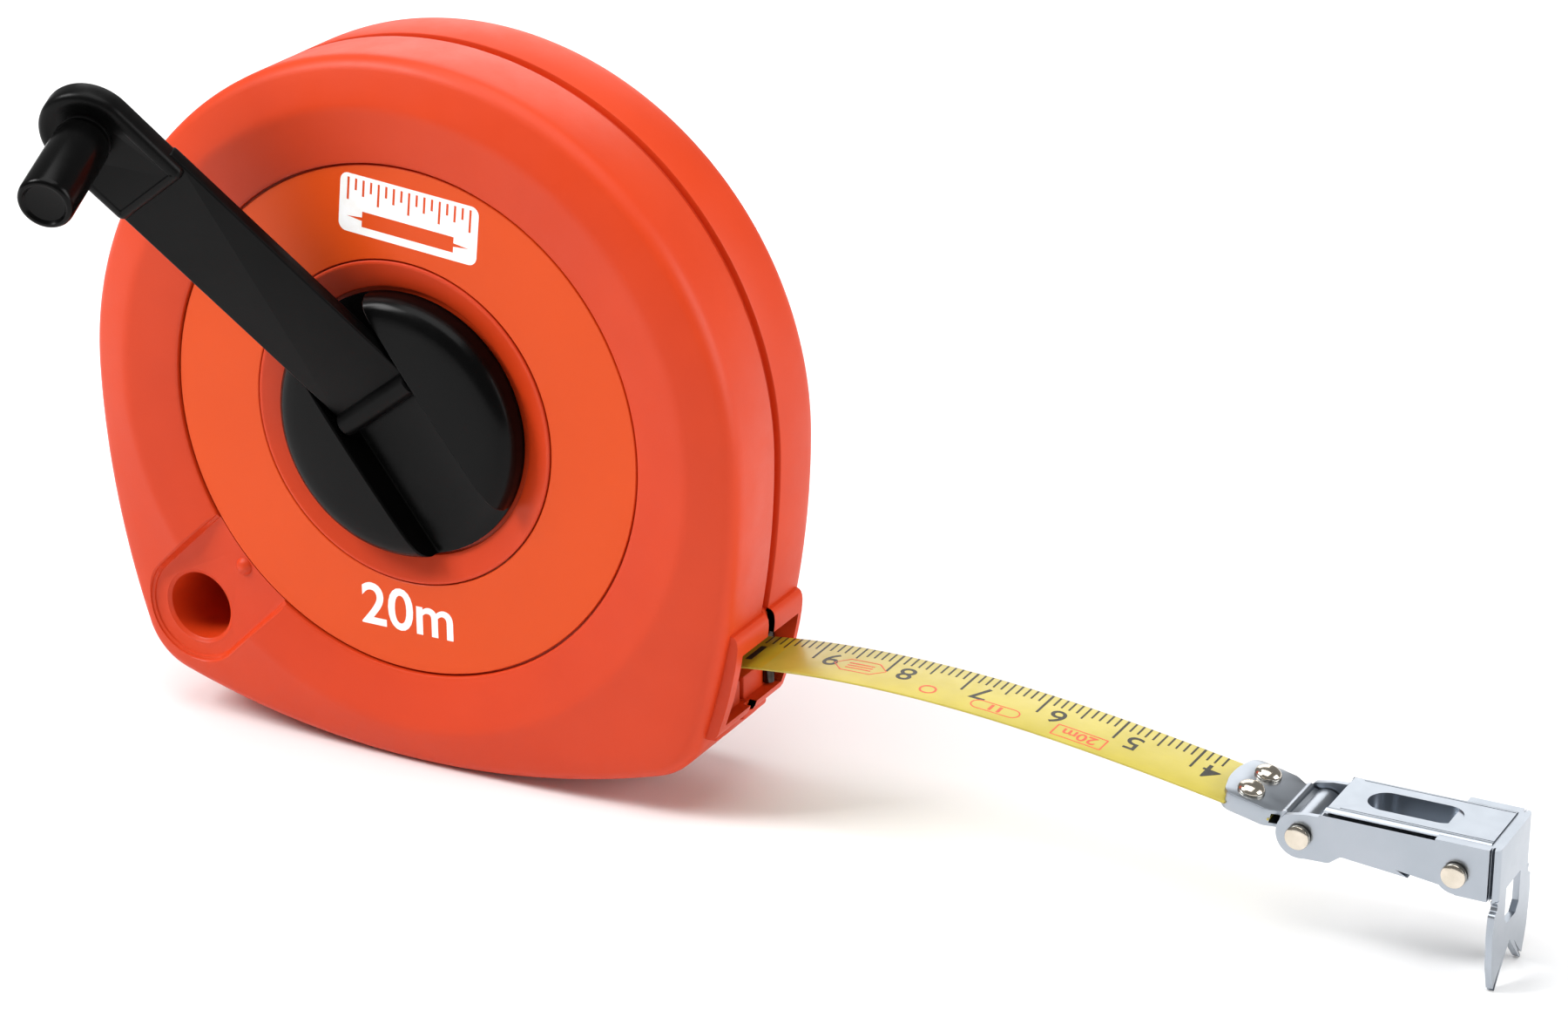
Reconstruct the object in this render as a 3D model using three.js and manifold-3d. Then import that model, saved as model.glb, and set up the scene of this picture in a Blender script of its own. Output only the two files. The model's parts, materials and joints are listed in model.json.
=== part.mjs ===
// Surveyor's tape reel: a closed plastic case with a folding crank, a 20 m steel tape and a hinged end hook.
// Millimetres, +Z up, +X the way the tape leaves the case, -Y the crank side.
// The origin is on the reel axis, on the flat rear face of the case.
import * as THREE from 'three';
import { mergeVertices } from 'three/addons/utils/BufferGeometryUtils.js';
import Module from 'manifold-3d';

const wasm = await Module();
wasm.setup();

// Case outline, in X-Z round the reel axis
const TOP_RADIUS = 46.4;
const SIDE_RADIUS = 113;
const BASE_RADIUS = 115;
const BASE_Z = -46.2;
const CORNER_RADIUS = 8.8;

// Case section, along Y from the flat rear face
const LABEL_Y = -22;
const CREST_HEIGHT = 1.6;
const EDGE_ROUND = 2.9;
const WALL = 2;
const FRONT_INNER_Y = LABEL_Y + 3;
const SPLIT_Y = LABEL_Y / 2;
const SPLIT_GAP = 0.3;
const GROOVE_WIDTH = 1.6;
const GROOVE_DEPTH = 1;
const GAP = 0.3;

// Front face rings
const CREST_RADIUS = 40.4;
const LABEL_RADIUS = 33;
const LABEL_INNER_RADIUS = 21.2;
const LABEL_THICKNESS = 0.4;
const HUB_RADIUS = 17;
const HUB_BOSS_RADIUS = 7.8;

// Parking socket for the crank knob
const SOCKET = new THREE.Vector2(-32.25, -31);
const SOCKET_RADIUS = 4.5;
const SOCKET_DEPTH = 17;
const CHANNEL_WIDTH = 14.5;

// Tape, reel and mouth
const TAPE_WIDTH = 10;
const COIL_RADIUS = 36;
const CORE_RADIUS = 12;
const FLANGE_RADIUS = 38;
const MOUTH_TOP_Z = -23.2;
const MOUTH_BOTTOM_Z = -33;
const MOUTH_HALF_WIDTH = 7.3;
const FRAME_FRONT_HALF = 8.9;
const FRAME_REAR_HALF = 8.2;
const FRAME_ROUND = 0.5;

// Crank
const CRANK_ANGLE = THREE.MathUtils.degToRad(127.5);
const CRANK_LIFT = THREE.MathUtils.degToRad(22.2);
const HINGE_OFFSET = 3.8;
const HINGE_Y = LABEL_Y - 1.7;
const HINGE_BARREL_RADIUS = 1.6;
const HINGE_PIN_HALF_LENGTH = 10;
const HINGE_PIN_RADIUS = 0.8;
const ARM_REACH = 48.5;
const ARM_WIDTH = 12.4;
const ARM_THICKNESS = 1.9;
const PAD_RADIUS = 6.1;
const PAD_START = 37.5;
const KNOB_RADIUS = 3.5;
const KNOB_LENGTH = 13.1;

// End hook, as places in X-Z
const CLIP_PIN = new THREE.Vector2(116.8, -31.8);
const CLAW_PIN = new THREE.Vector2(136, -31.7);
const CLIP_PITCH = THREE.MathUtils.degToRad(12.5);
const CLIP_LENGTH = 10.9;
const HOOK_TOP_Z = -27.7;
const CLAW_FACE_X = 141;
const CLAW_THICKNESS = 0.8;

const red = new THREE.MeshStandardMaterial({ color: 0xe0502c, roughness: 0.5, metalness: 0 });
const labelRed = new THREE.MeshStandardMaterial({ color: 0xf15b29, roughness: 0.35, metalness: 0 });
const black = new THREE.MeshStandardMaterial({ color: 0x161616, roughness: 0.35, metalness: 0 });
const white = new THREE.MeshStandardMaterial({ color: 0xe8e4da, roughness: 0.5, metalness: 0 });
const felt = new THREE.MeshStandardMaterial({ color: 0x4a4a48, roughness: 0.95, metalness: 0 });
const yellow = new THREE.MeshStandardMaterial({ color: 0xd6c850, roughness: 0.35, metalness: 0.1 });
const zinc = new THREE.MeshStandardMaterial({ color: 0xb9c2cc, roughness: 0.35, metalness: 1 });
const nickel = new THREE.MeshStandardMaterial({ color: 0xc9c2b6, roughness: 0.2, metalness: 1 });

const group = new THREE.Group();

/** Adds a named mesh to the group or to a turned sub-group. */
function add(name, geometry, material, parent = group) {
  const mesh = new THREE.Mesh(geometry, material);
  mesh.name = name;
  parent.add(mesh);
  return mesh;
}

// ---- Solids: three.js makes each shape, manifold joins and cuts them ----

/** A closed three.js geometry as a solid, with its faces turned outwards. */
function solid(source) {
  const bare = source.clone();
  bare.deleteAttribute('normal');
  bare.deleteAttribute('uv');
  const merged = mergeVertices(bare, 1e-4);
  const points = merged.attributes.position.array;
  const triangles = [];
  let volume = 0;
  const corner = (index) => new THREE.Vector3().fromArray(points, index * 3);
  for (let i = 0; i < merged.index.count; i += 3) {
    const [a, b, c] = [0, 1, 2].map((step) => merged.index.getX(i + step));
    if (a !== b && b !== c && c !== a) {
      triangles.push([a, b, c]);
      volume += corner(a).dot(corner(b).cross(corner(c)));
    }
  }
  const outward = triangles.map(([a, b, c]) => (volume > 0 ? [a, b, c] : [a, c, b]));
  const mesh = new wasm.Mesh({
    numProp: 3,
    vertProperties: new Float32Array(points),
    triVerts: new Uint32Array(outward.flat()),
  });
  return new wasm.Manifold(mesh);
}

/** A solid back as a three.js geometry. */
function geometryOf(body) {
  const mesh = body.getMesh();
  const geometry = new THREE.BufferGeometry();
  geometry.setAttribute('position', new THREE.BufferAttribute(new Float32Array(mesh.vertProperties), 3));
  geometry.setIndex(new THREE.BufferAttribute(new Uint32Array(mesh.triVerts), 1));
  geometry.computeVertexNormals();
  return geometry;
}

/** Joins the first geometry with the added ones, then cuts the others away. */
function carve(base, added = [], removed = []) {
  let body = solid(base);
  for (const piece of added) body = body.add(solid(piece));
  for (const piece of removed) body = body.subtract(solid(piece));
  return geometryOf(body);
}

// ---- Shapes ----

/** Points on an arc, in degrees, both ends included. */
function arc(x, z, radius, from, to, steps) {
  const points = [];
  for (let i = 0; i <= steps; i += 1) {
    const angle = THREE.MathUtils.degToRad(from + ((to - from) * i) / steps);
    points.push(new THREE.Vector2(x + radius * Math.cos(angle), z + radius * Math.sin(angle)));
  }
  return points;
}

/** A shape drawn in X-Z, extruded along Y between two places, with both edges rounded if asked. */
function slabY(shape, low, high, round = 0) {
  const geometry = new THREE.ExtrudeGeometry(shape, {
    depth: high - low - 2 * round,
    bevelEnabled: round > 0,
    bevelThickness: round,
    bevelSize: round,
    bevelOffset: -round,
    bevelSegments: 3,
  });
  geometry.rotateX(Math.PI / 2);
  return geometry.translate(0, high - round, 0);
}

/** A box between two corners. */
function box(low, high) {
  const size = high.map((value, i) => value - low[i]);
  const geometry = new THREE.BoxGeometry(...size);
  return geometry.translate(...low.map((value, i) => value + size[i] / 2));
}

/** A cylinder along Y at a place in X-Z. */
function rodY(radius, low, high, x = 0, z = 0, sides = 20) {
  const geometry = new THREE.CylinderGeometry(radius, radius, high - low, sides);
  return geometry.translate(x, (low + high) / 2, z);
}

/** A cylinder along Z at a place in X-Y. */
function rodZ(radius, low, high, x = 0, y = 0, sides = 20) {
  const geometry = new THREE.CylinderGeometry(radius, radius, high - low, sides);
  geometry.rotateX(Math.PI / 2);
  return geometry.translate(x, y, (low + high) / 2);
}

/** A profile of [radius, y] pairs turned about the Y axis; it starts and ends on the axis or on itself. */
function turned(profile, sides = 40) {
  return new THREE.LatheGeometry(profile.map(([radius, y]) => new THREE.Vector2(radius, y)), sides);
}

/** A flat ring about the Y axis. */
function ring(inner, outer, low, high, sides = 40) {
  return turned([[inner, low], [outer, low], [outer, high], [inner, high], [inner, low]], sides);
}

/** A stadium shape: a bar along a line with round ends. */
function stadium(x1, z1, x2, z2, radius, steps = 10) {
  const heading = THREE.MathUtils.radToDeg(Math.atan2(z2 - z1, x2 - x1));
  return new THREE.Shape([
    ...arc(x2, z2, radius, heading - 90, heading + 90, steps),
    ...arc(x1, z1, radius, heading + 90, heading + 270, steps),
  ]);
}

/** The centre of the right-hand corner arc, which touches the side arc and the base arc from inside. */
function cornerCentre() {
  const side = new THREE.Vector2(TOP_RADIUS - SIDE_RADIUS, 0);
  const base = new THREE.Vector2(0, BASE_Z + BASE_RADIUS);
  const toSide = SIDE_RADIUS - CORNER_RADIUS;
  const toBase = BASE_RADIUS - CORNER_RADIUS;
  const line = base.clone().sub(side);
  const span = line.length();
  const along = (toSide ** 2 - toBase ** 2 + span ** 2) / (2 * span);
  const across = Math.sqrt(toSide ** 2 - along ** 2);
  line.normalize();
  const across90 = new THREE.Vector2(line.y, -line.x);
  return side.clone().addScaledVector(line, along).addScaledVector(across90, across);
}

/** The case outline: round top, long side arcs, round corners and a convex base, moved in by an inset. */
function caseOutline(inset) {
  const corner = cornerCentre();
  const baseCentreZ = BASE_Z + BASE_RADIUS;
  const sideAngle = THREE.MathUtils.radToDeg(Math.atan2(-corner.y, corner.x + SIDE_RADIUS - TOP_RADIUS));
  const baseAngle = THREE.MathUtils.radToDeg(Math.atan2(corner.x, baseCentreZ - corner.y));
  const offset = SIDE_RADIUS - TOP_RADIUS;
  const points = [
    ...arc(0, 0, TOP_RADIUS - inset, 0, 180, 28),
    ...arc(offset, 0, SIDE_RADIUS - inset, 180, 180 + sideAngle, 4).slice(1),
    ...arc(-corner.x, corner.y, CORNER_RADIUS - inset, 180 + sideAngle, 270 - baseAngle, 6).slice(1),
    ...arc(0, baseCentreZ, BASE_RADIUS - inset, 270 - baseAngle, 270 + baseAngle, 8).slice(1),
    ...arc(corner.x, corner.y, CORNER_RADIUS - inset, 270 + baseAngle, 360 - sideAngle, 6).slice(1),
    ...arc(-offset, 0, SIDE_RADIUS - inset, 360 - sideAngle, 360, 4).slice(1, -1),
  ];
  return new THREE.Shape(points);
}

// ---- Case ----

const crestY = LABEL_Y - CREST_HEIGHT;
const rearInnerY = -WALL;
const labelFloorY = LABEL_Y + 0.7;
const hubFloorY = LABEL_Y + 1.6;
const grooveFrontY = SPLIT_Y - GROOVE_WIDTH / 2;
const grooveRearY = SPLIT_Y + GROOVE_WIDTH / 2;
const bossPlaces = [[-29.4, 29.4], [29.4, 29.4], [-12, -40.2], [31, -35.5]];
const bossRadius = 2.6;
const screwRadius = 1.1;
const screwHeadRadius = 2.2;

/** The raised frame round the tape mouth, standing proud of the side of the case. */
function mouthFrame() {
  const profile = [
    [38, -20.1], [43.9, -20.1], [45, -20.2], [45.4, -20.6], [45.55, -21.4], [45.4, -23.2],
    [44.9, -26], [44.1, -29.5], [42.8, -33.6], [42.3, -34.6], [38, -34.6],
  ].map(([x, z]) => new THREE.Vector2(x, z));
  return slabY(new THREE.Shape(profile), SPLIT_Y - FRAME_FRONT_HALF, SPLIT_Y + FRAME_REAR_HALF, FRAME_ROUND);
}

/** The round dish in the front border, the label recess and the recess under the hub. */
function frontDish() {
  const beyond = 0.4;
  const rise = CREST_HEIGHT - 0.3;
  const run = CREST_RADIUS - LABEL_RADIUS - GAP;
  return turned([
    [0, LABEL_Y - 12],
    [CREST_RADIUS + (beyond * run) / rise, LABEL_Y - 12],
    [CREST_RADIUS + (beyond * run) / rise, crestY - beyond],
    [LABEL_RADIUS + GAP, LABEL_Y - 0.3],
    [LABEL_RADIUS + GAP, labelFloorY],
    [LABEL_INNER_RADIUS - 0.2, labelFloorY],
    [LABEL_INNER_RADIUS - 0.2, LABEL_Y - 0.1],
    [LABEL_INNER_RADIUS - 0.6, LABEL_Y - 0.1],
    [HUB_RADIUS + 0.4, LABEL_Y + 1.1],
    [HUB_RADIUS + 0.4, hubFloorY],
    [0, hubFloorY],
  ], 48);
}

/** One half of the case: the hollow outline between the parting plane and one face. */
function hollowHalf(low, high) {
  const reach = 80;
  const outer = solid(slabY(caseOutline(0), crestY, 0, EDGE_ROUND)).add(solid(mouthFrame()));
  const cavity = solid(slabY(caseOutline(WALL), FRONT_INNER_Y, rearInnerY));
  const grooveBand = solid(slabY(caseOutline(-3), grooveFrontY, grooveRearY));
  const grooveCore = solid(slabY(caseOutline(GROOVE_DEPTH), grooveFrontY - 1, grooveRearY + 1));
  const mouth = solid(box(
    [36, SPLIT_Y - MOUTH_HALF_WIDTH, MOUTH_BOTTOM_Z],
    [50, SPLIT_Y + MOUTH_HALF_WIDTH, MOUTH_TOP_Z],
  ));
  const half = solid(box([-reach, low, -reach], [reach, high, reach]));
  return outer.subtract(cavity).subtract(grooveBand.subtract(grooveCore)).subtract(mouth).intersect(half);
}

/** The front half, with the dish, the parking channel and socket, the hub bearing and the screw bosses. */
function frontShell() {
  const channelStart = SOCKET.clone().setLength(30);
  const channel = stadium(channelStart.x, channelStart.y, SOCKET.x, SOCKET.y, CHANNEL_WIDTH / 2);
  const detentPlace = SOCKET.clone().setLength(34.65);
  const detent = new THREE.SphereGeometry(1.4, 16, 10).translate(detentPlace.x, LABEL_Y + 1, detentPlace.y);
  let body = hollowHalf(crestY - 1, SPLIT_Y - SPLIT_GAP / 2);
  body = body.subtract(solid(frontDish()));
  body = body.subtract(solid(slabY(channel, LABEL_Y - 8, LABEL_Y + 0.3)));
  body = body.add(solid(detent));
  body = body.subtract(solid(rodY(HUB_BOSS_RADIUS + 0.4, LABEL_Y, LABEL_Y + 5, 0, 0, 24)));
  const socketEnd = LABEL_Y + SOCKET_DEPTH;
  body = body.add(solid(rodY(SOCKET_RADIUS + 1, LABEL_Y + 2, socketEnd + 1.2, SOCKET.x, SOCKET.y)));
  for (const [x, z] of bossPlaces) {
    body = body.add(solid(rodY(bossRadius, LABEL_Y + 2.5, SPLIT_Y - GAP, x, z, 16)));
  }
  for (const [x, z] of bossPlaces) {
    body = body.subtract(solid(rodY(screwRadius + GAP, LABEL_Y + 4.5, SPLIT_Y, x, z, 12)));
  }
  body = body.subtract(solid(rodY(SOCKET_RADIUS, LABEL_Y - 4, socketEnd, SOCKET.x, SOCKET.y, 24)));
  return geometryOf(body);
}

/** The rear half, with the rear bearing for the reel and the screw bosses. */
function rearShell() {
  let body = hollowHalf(SPLIT_Y + SPLIT_GAP / 2, 1);
  body = body.add(solid(rodY(5.6, LABEL_Y + 14.5, -1, 0, 0, 24)));
  body = body.subtract(solid(rodY(4.4, LABEL_Y + 13, -WALL, 0, 0, 24)));
  body = body.subtract(solid(ring(30, 31.2, -0.6, 1)));
  for (const [x, z] of bossPlaces) {
    body = body.add(solid(rodY(bossRadius, SPLIT_Y + GAP, -1, x, z, 16)));
  }
  for (const [x, z] of bossPlaces) {
    body = body.subtract(solid(rodY(screwRadius + GAP, SPLIT_Y, 1, x, z, 12)));
    body = body.subtract(solid(rodY(screwHeadRadius + GAP, -2.2, 1, x, z, 20)));
  }
  return geometryOf(body);
}

add('front_shell', frontShell(), red);
add('rear_shell', rearShell(), red);
add('front_label', ring(LABEL_INNER_RADIUS, LABEL_RADIUS, LABEL_Y, LABEL_Y + LABEL_THICKNESS, 48), labelRed);

bossPlaces.forEach(([x, z], i) => {
  const tipY = LABEL_Y + 6;
  const screw = turned([
    [0, tipY], [screwRadius * 0.5, tipY], [screwRadius, tipY + 1.2], [screwRadius, -1.9],
    [screwHeadRadius, -1.9], [screwHeadRadius, -0.8], [screwHeadRadius * 0.7, -0.4], [0, -0.4],
  ], 20);
  const slot = box([-1.4, -1.1, -0.3], [1.4, 1, 0.3]);
  const crossSlot = box([-0.3, -1.1, -1.4], [0.3, 1, 1.4]);
  add(`case_screw_${i + 1}`, carve(screw, [], [slot, crossSlot]), zinc).position.set(x, 0, z);
});

add('mouth_wear_pin', rodZ(0.8, MOUTH_BOTTOM_Z + GAP, MOUTH_TOP_Z - GAP, 41.8, SPLIT_Y + 6.1, 16), nickel);

// ---- Reel: the hub outside the case turns the drum, the flanges and the wound tape inside ----

const hub = new THREE.Group();
hub.rotation.y = -CRANK_ANGLE;
group.add(hub);

const drivePegHalf = 3.8;
const drivePegEndY = LABEL_Y + 9;
const channelFloorY = LABEL_Y + 0.45;
const channelHalfWidth = ARM_WIDTH / 2 + 0.45;
const hubUndersideY = LABEL_Y + 1.3;

const hubDisc = turned([
  [0, hubUndersideY],
  [HUB_RADIUS - 0.4, hubUndersideY],
  [HUB_RADIUS, LABEL_Y + 0.9],
  [HUB_RADIUS, LABEL_Y - 0.9],
  [HUB_RADIUS - 0.3, LABEL_Y - 1.9],
  [HUB_RADIUS - 0.8, LABEL_Y - 2.6],
  [HUB_RADIUS - 1.6, LABEL_Y - 3.1],
  [HUB_RADIUS - 3, LABEL_Y - 3.35],
  [8, LABEL_Y - 3.6],
  [0, LABEL_Y - 3.7],
], 40);
const hubBoss = rodY(HUB_BOSS_RADIUS, LABEL_Y, LABEL_Y + 4.3, 0, 0, 24);
const hubPeg = box([-drivePegHalf, LABEL_Y, -drivePegHalf], [drivePegHalf, drivePegEndY, drivePegHalf]);
const armChannel = box([-30, LABEL_Y - 12, -channelHalfWidth], [30, channelFloorY, channelHalfWidth]);
const hingeHoleEnd = HINGE_PIN_HALF_LENGTH + 0.3;
const hingeHole = rodZ(HINGE_PIN_RADIUS + 0.25, -hingeHoleEnd, hingeHoleEnd, HINGE_OFFSET, HINGE_Y);
const screwBore = rodY(1.9, LABEL_Y + 3, LABEL_Y + 10, 0, 0, 20);
add('crank_hub', carve(hubDisc, [hubBoss, hubPeg], [armChannel, hingeHole, screwBore]), black, hub);
const hingePin = rodZ(
  HINGE_PIN_RADIUS, -HINGE_PIN_HALF_LENGTH, HINGE_PIN_HALF_LENGTH, HINGE_OFFSET, HINGE_Y,
);
add('crank_hinge_pin', hingePin, nickel, hub);

const coilLowY = SPLIT_Y - TAPE_WIDTH / 2;
const coilHighY = SPLIT_Y + TAPE_WIDTH / 2;
const webY = LABEL_Y + 10.6;
const webThickness = 2;
const coreBlank = rodY(CORE_RADIUS, coilLowY, coilHighY, 0, 0, 36);
const pegSocket = box(
  [-drivePegHalf - GAP, LABEL_Y, -drivePegHalf - GAP],
  [drivePegHalf + GAP, webY, drivePegHalf + GAP],
);
const bearingBore = rodY(6, webY + webThickness, 0, 0, 0, 24);
add('reel_core', carve(coreBlank, [], [pegSocket, bearingBore, rodY(2, LABEL_Y, 0)]), white, hub);
add('front_flange', ring(HUB_BOSS_RADIUS + 0.5, FLANGE_RADIUS, coilLowY - 1.1, coilLowY - GAP), white, hub);
add('rear_flange', ring(7, FLANGE_RADIUS, coilHighY + GAP, coilHighY + 1.1), white, hub);
add('tape_coil', ring(CORE_RADIUS + GAP, COIL_RADIUS, coilLowY, coilHighY, 48), yellow, hub);
add('brake_washer', ring(9, 13, FRONT_INNER_Y + GAP, FRONT_INNER_Y + 1.2, 32), felt, hub);

const screwSeatY = webY + webThickness;
add('spindle_washer', ring(1.9, 3.8, screwSeatY + GAP, screwSeatY + 0.9, 24), zinc, hub);
add('spindle_screw', turned([
  [0, LABEL_Y + 4], [1.5, LABEL_Y + 4.6], [1.5, screwSeatY + 1.2], [3.4, screwSeatY + 1.2],
  [3.4, screwSeatY + 2.4], [2.4, screwSeatY + 3], [0, screwSeatY + 3],
], 24), zinc, hub);

// ---- Crank: the arm lies along its own X, its front faces -Y, and the knob stands on its far end ----

const arm = new THREE.Group();
arm.position.set(HINGE_OFFSET, HINGE_Y, 0);
arm.rotation.z = -CRANK_LIFT;
hub.add(arm);

const armFrontY = -0.1;
const padFrontY = -1.3;
const padRearY = 1.7;
const collarY = padFrontY - 0.3;
const stemRadius = 1.3;
const stemHeadRadius = 2.6;
const armBar = box(
  [0, armFrontY, -ARM_WIDTH / 2],
  [PAD_START + 1.5, armFrontY + ARM_THICKNESS, ARM_WIDTH / 2],
);
const armBarrel = rodZ(HINGE_BARREL_RADIUS, -ARM_WIDTH / 2, ARM_WIDTH / 2, 0, 0, 24);
const padShape = new THREE.Shape([
  new THREE.Vector2(PAD_START, PAD_RADIUS),
  new THREE.Vector2(PAD_START, -PAD_RADIUS),
  ...arc(ARM_REACH, 0, PAD_RADIUS, -90, 90, 16),
]);
const armPad = slabY(padShape, padFrontY, padRearY, 0.7);
const armCollar = rodY(KNOB_RADIUS - 0.2, collarY, padFrontY + 1, ARM_REACH, 0);
const stemHole = rodY(stemRadius + GAP, -10, 4, ARM_REACH, 0, 20);
const stemSeat = rodY(stemHeadRadius + GAP, padRearY - 1.1, 4, ARM_REACH, 0, 20);
const hingeBore = rodZ(HINGE_PIN_RADIUS + GAP, -20, 20);
add('crank_arm', carve(armBar, [armBarrel, armPad, armCollar], [stemHole, stemSeat, hingeBore]), black, arm);

const knobBaseY = collarY - GAP;
const knobTipY = knobBaseY - KNOB_LENGTH;
const knobBlank = turned([
  [0, knobTipY + 0.4],
  [KNOB_RADIUS - 1, knobTipY + 0.4],
  [KNOB_RADIUS - 0.8, knobTipY],
  [KNOB_RADIUS - 0.3, knobTipY],
  [KNOB_RADIUS, knobTipY + 0.5],
  [KNOB_RADIUS, knobBaseY - 0.4],
  [KNOB_RADIUS - 0.4, knobBaseY],
  [0, knobBaseY],
], 32);
const knobBore = rodY(stemRadius + 0.4, knobTipY + 2, knobBaseY + 1, 0, 0, 20);
add('crank_knob', carve(knobBlank, [], [knobBore]), black, arm).position.set(ARM_REACH, 0, 0);
const stem = turned([
  [0, knobTipY + 2.6],
  [stemRadius - 0.3, knobTipY + 2.6],
  [stemRadius, knobTipY + 3],
  [stemRadius, padRearY - 0.8],
  [stemHeadRadius, padRearY - 0.8],
  [stemHeadRadius, padRearY - 0.3],
  [stemHeadRadius - 0.4, padRearY],
  [0, padRearY],
], 24);
add('knob_stem', stem, zinc, arm).position.set(ARM_REACH, 0, 0);

// ---- Tape outside the case: a thin strip that rises to the mouth lip and then sags to its end clip ----

const bladeThickness = 0.3;
const bladeStart = new THREE.Vector2(51.3, -25.2);
const bladeInnerX = 19.5;
const mouthSlope = 0.25;

/** The tape's downward slope at a distance outwards from its reference place. */
function bladePitch(distance) {
  const ratio = distance / 50;
  return Math.max(-mouthSlope, -0.069 + 0.372 * ratio - 0.139 * ratio * ratio);
}

/** The middle line of the tape from inside the case to a place in the clip. */
function bladeLine() {
  const step = 3;
  const inward = [];
  let place = bladeStart.clone();
  for (let distance = 0; place.x > bladeInnerX; distance -= step) {
    inward.unshift(place.clone());
    const pitch = bladePitch(distance - step / 2);
    place = new THREE.Vector2(place.x - step * Math.cos(pitch), place.y + step * Math.sin(pitch));
  }
  const outward = [];
  place = bladeStart.clone();
  for (let distance = 0; place.x < CLIP_PIN.x - 6.5; distance += step) {
    const pitch = bladePitch(distance + step / 2);
    place = new THREE.Vector2(place.x + step * Math.cos(pitch), place.y - step * Math.sin(pitch));
    outward.push(place);
  }
  return [...inward, ...outward];
}

/** A strip of even thickness round a middle line, as a closed outline in X-Z. */
function stripShape(line, thickness) {
  const sides = [[], []];
  line.forEach((point, i) => {
    const before = line[Math.max(i - 1, 0)];
    const after = line[Math.min(i + 1, line.length - 1)];
    const normal = new THREE.Vector2(before.y - after.y, after.x - before.x).setLength(thickness / 2);
    sides[0].push(point.clone().sub(normal));
    sides[1].unshift(point.clone().add(normal));
  });
  return new THREE.Shape([...sides[0], ...sides[1]]);
}

// The clip is drawn round its pin, with its own X along the end of the tape.
const clip = new THREE.Group();
clip.position.set(CLIP_PIN.x, SPLIT_Y, CLIP_PIN.y);
clip.rotation.y = CLIP_PITCH;
group.add(clip);
clip.updateMatrixWorld(true);

const clipHalfWidth = 5;
const knuckleHalfWidth = 4.1;
const clipPinRadius = 0.95;
const plateThickness = 0.5;
const clipSlot = 0.62;
const bladeEndOffset = 0.3;
const rivetPlaces = [[-7.6, -2.4], [-7.4, 2.4]];
const rivetShank = 0.8;
const rivetHeadRadius = 1.65;

const blade = slabY(stripShape(bladeLine(), bladeThickness), coilLowY, coilHighY);
const bladeHoles = rivetPlaces.map(([x, y]) => {
  const hole = new THREE.CylinderGeometry(rivetShank + GAP, rivetShank + GAP, 8, 16);
  hole.rotateX(Math.PI / 2);
  return hole.translate(x, y, 0).applyMatrix4(clip.matrixWorld);
});
add('tape_blade', carve(blade, [], bladeHoles), yellow);

const clipTop = clipSlot + plateThickness;
const clipPlates = box(
  [-CLIP_LENGTH, -clipHalfWidth, bladeEndOffset - clipTop],
  [-1.6, clipHalfWidth, bladeEndOffset + clipTop],
);
const clipSlit = box([-CLIP_LENGTH - 1, -8, bladeEndOffset - clipSlot], [-3, 8, bladeEndOffset + clipSlot]);
const knuckleSides = [-1, 1].map((side) => box(
  [-3.4, side > 0 ? knuckleHalfWidth : -8, -4],
  [4, side > 0 ? 8 : -knuckleHalfWidth, 4],
));
const clipHoles = rivetPlaces.map(([x, y]) => rodZ(rivetShank + GAP, -4, 4, x, y, 16));
const knuckle = rodY(clipPinRadius + GAP + 0.75, -knuckleHalfWidth, knuckleHalfWidth);
const knuckleBore = rodY(clipPinRadius + GAP, -8, 8);
const clipCuts = [clipSlit, knuckleBore, ...knuckleSides, ...clipHoles];
add('tape_clip', carve(clipPlates, [knuckle], clipCuts), zinc, clip);

rivetPlaces.forEach(([x, y], i) => {
  const seat = bladeEndOffset + clipTop + 0.25;
  const tail = bladeEndOffset - clipTop - 0.25;
  const rivet = turned([
    [0, tail - 0.5], [1.2, tail - 0.4], [1.3, tail], [rivetShank, tail], [rivetShank, seat],
    [rivetHeadRadius, seat], [rivetHeadRadius - 0.15, seat + 0.35],
    [rivetHeadRadius * 0.6, seat + 0.7], [0, seat + 0.85],
  ], 20);
  rivet.rotateX(Math.PI / 2);
  add(`tape_rivet_${i + 1}`, rivet, nickel, clip).position.set(x, y, 0);
});

// ---- Hook frame and claw ----

const flangeThickness = 0.7;
const flangeInner = knuckleHalfWidth + GAP;
const flangeOuter = flangeInner + flangeThickness;
const earOuter = flangeOuter + GAP + flangeThickness;

/** A two-headed pin along Y, with its heads just outside a given half width. */
function headedPin(place, radius, headRadius, halfWidth) {
  const head = 0.8;
  const seat = halfWidth + 0.25;
  const profile = [
    [0, -seat - head], [headRadius - 0.15, -seat - head],
    [headRadius, -seat - head + 0.2], [headRadius, -seat],
    [radius, -seat], [radius, seat], [headRadius, seat], [headRadius, seat + head - 0.2],
    [headRadius - 0.15, seat + head], [0, seat + head],
  ];
  return turned(profile, 20).translate(place.x, SPLIT_Y, place.y);
}

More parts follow.
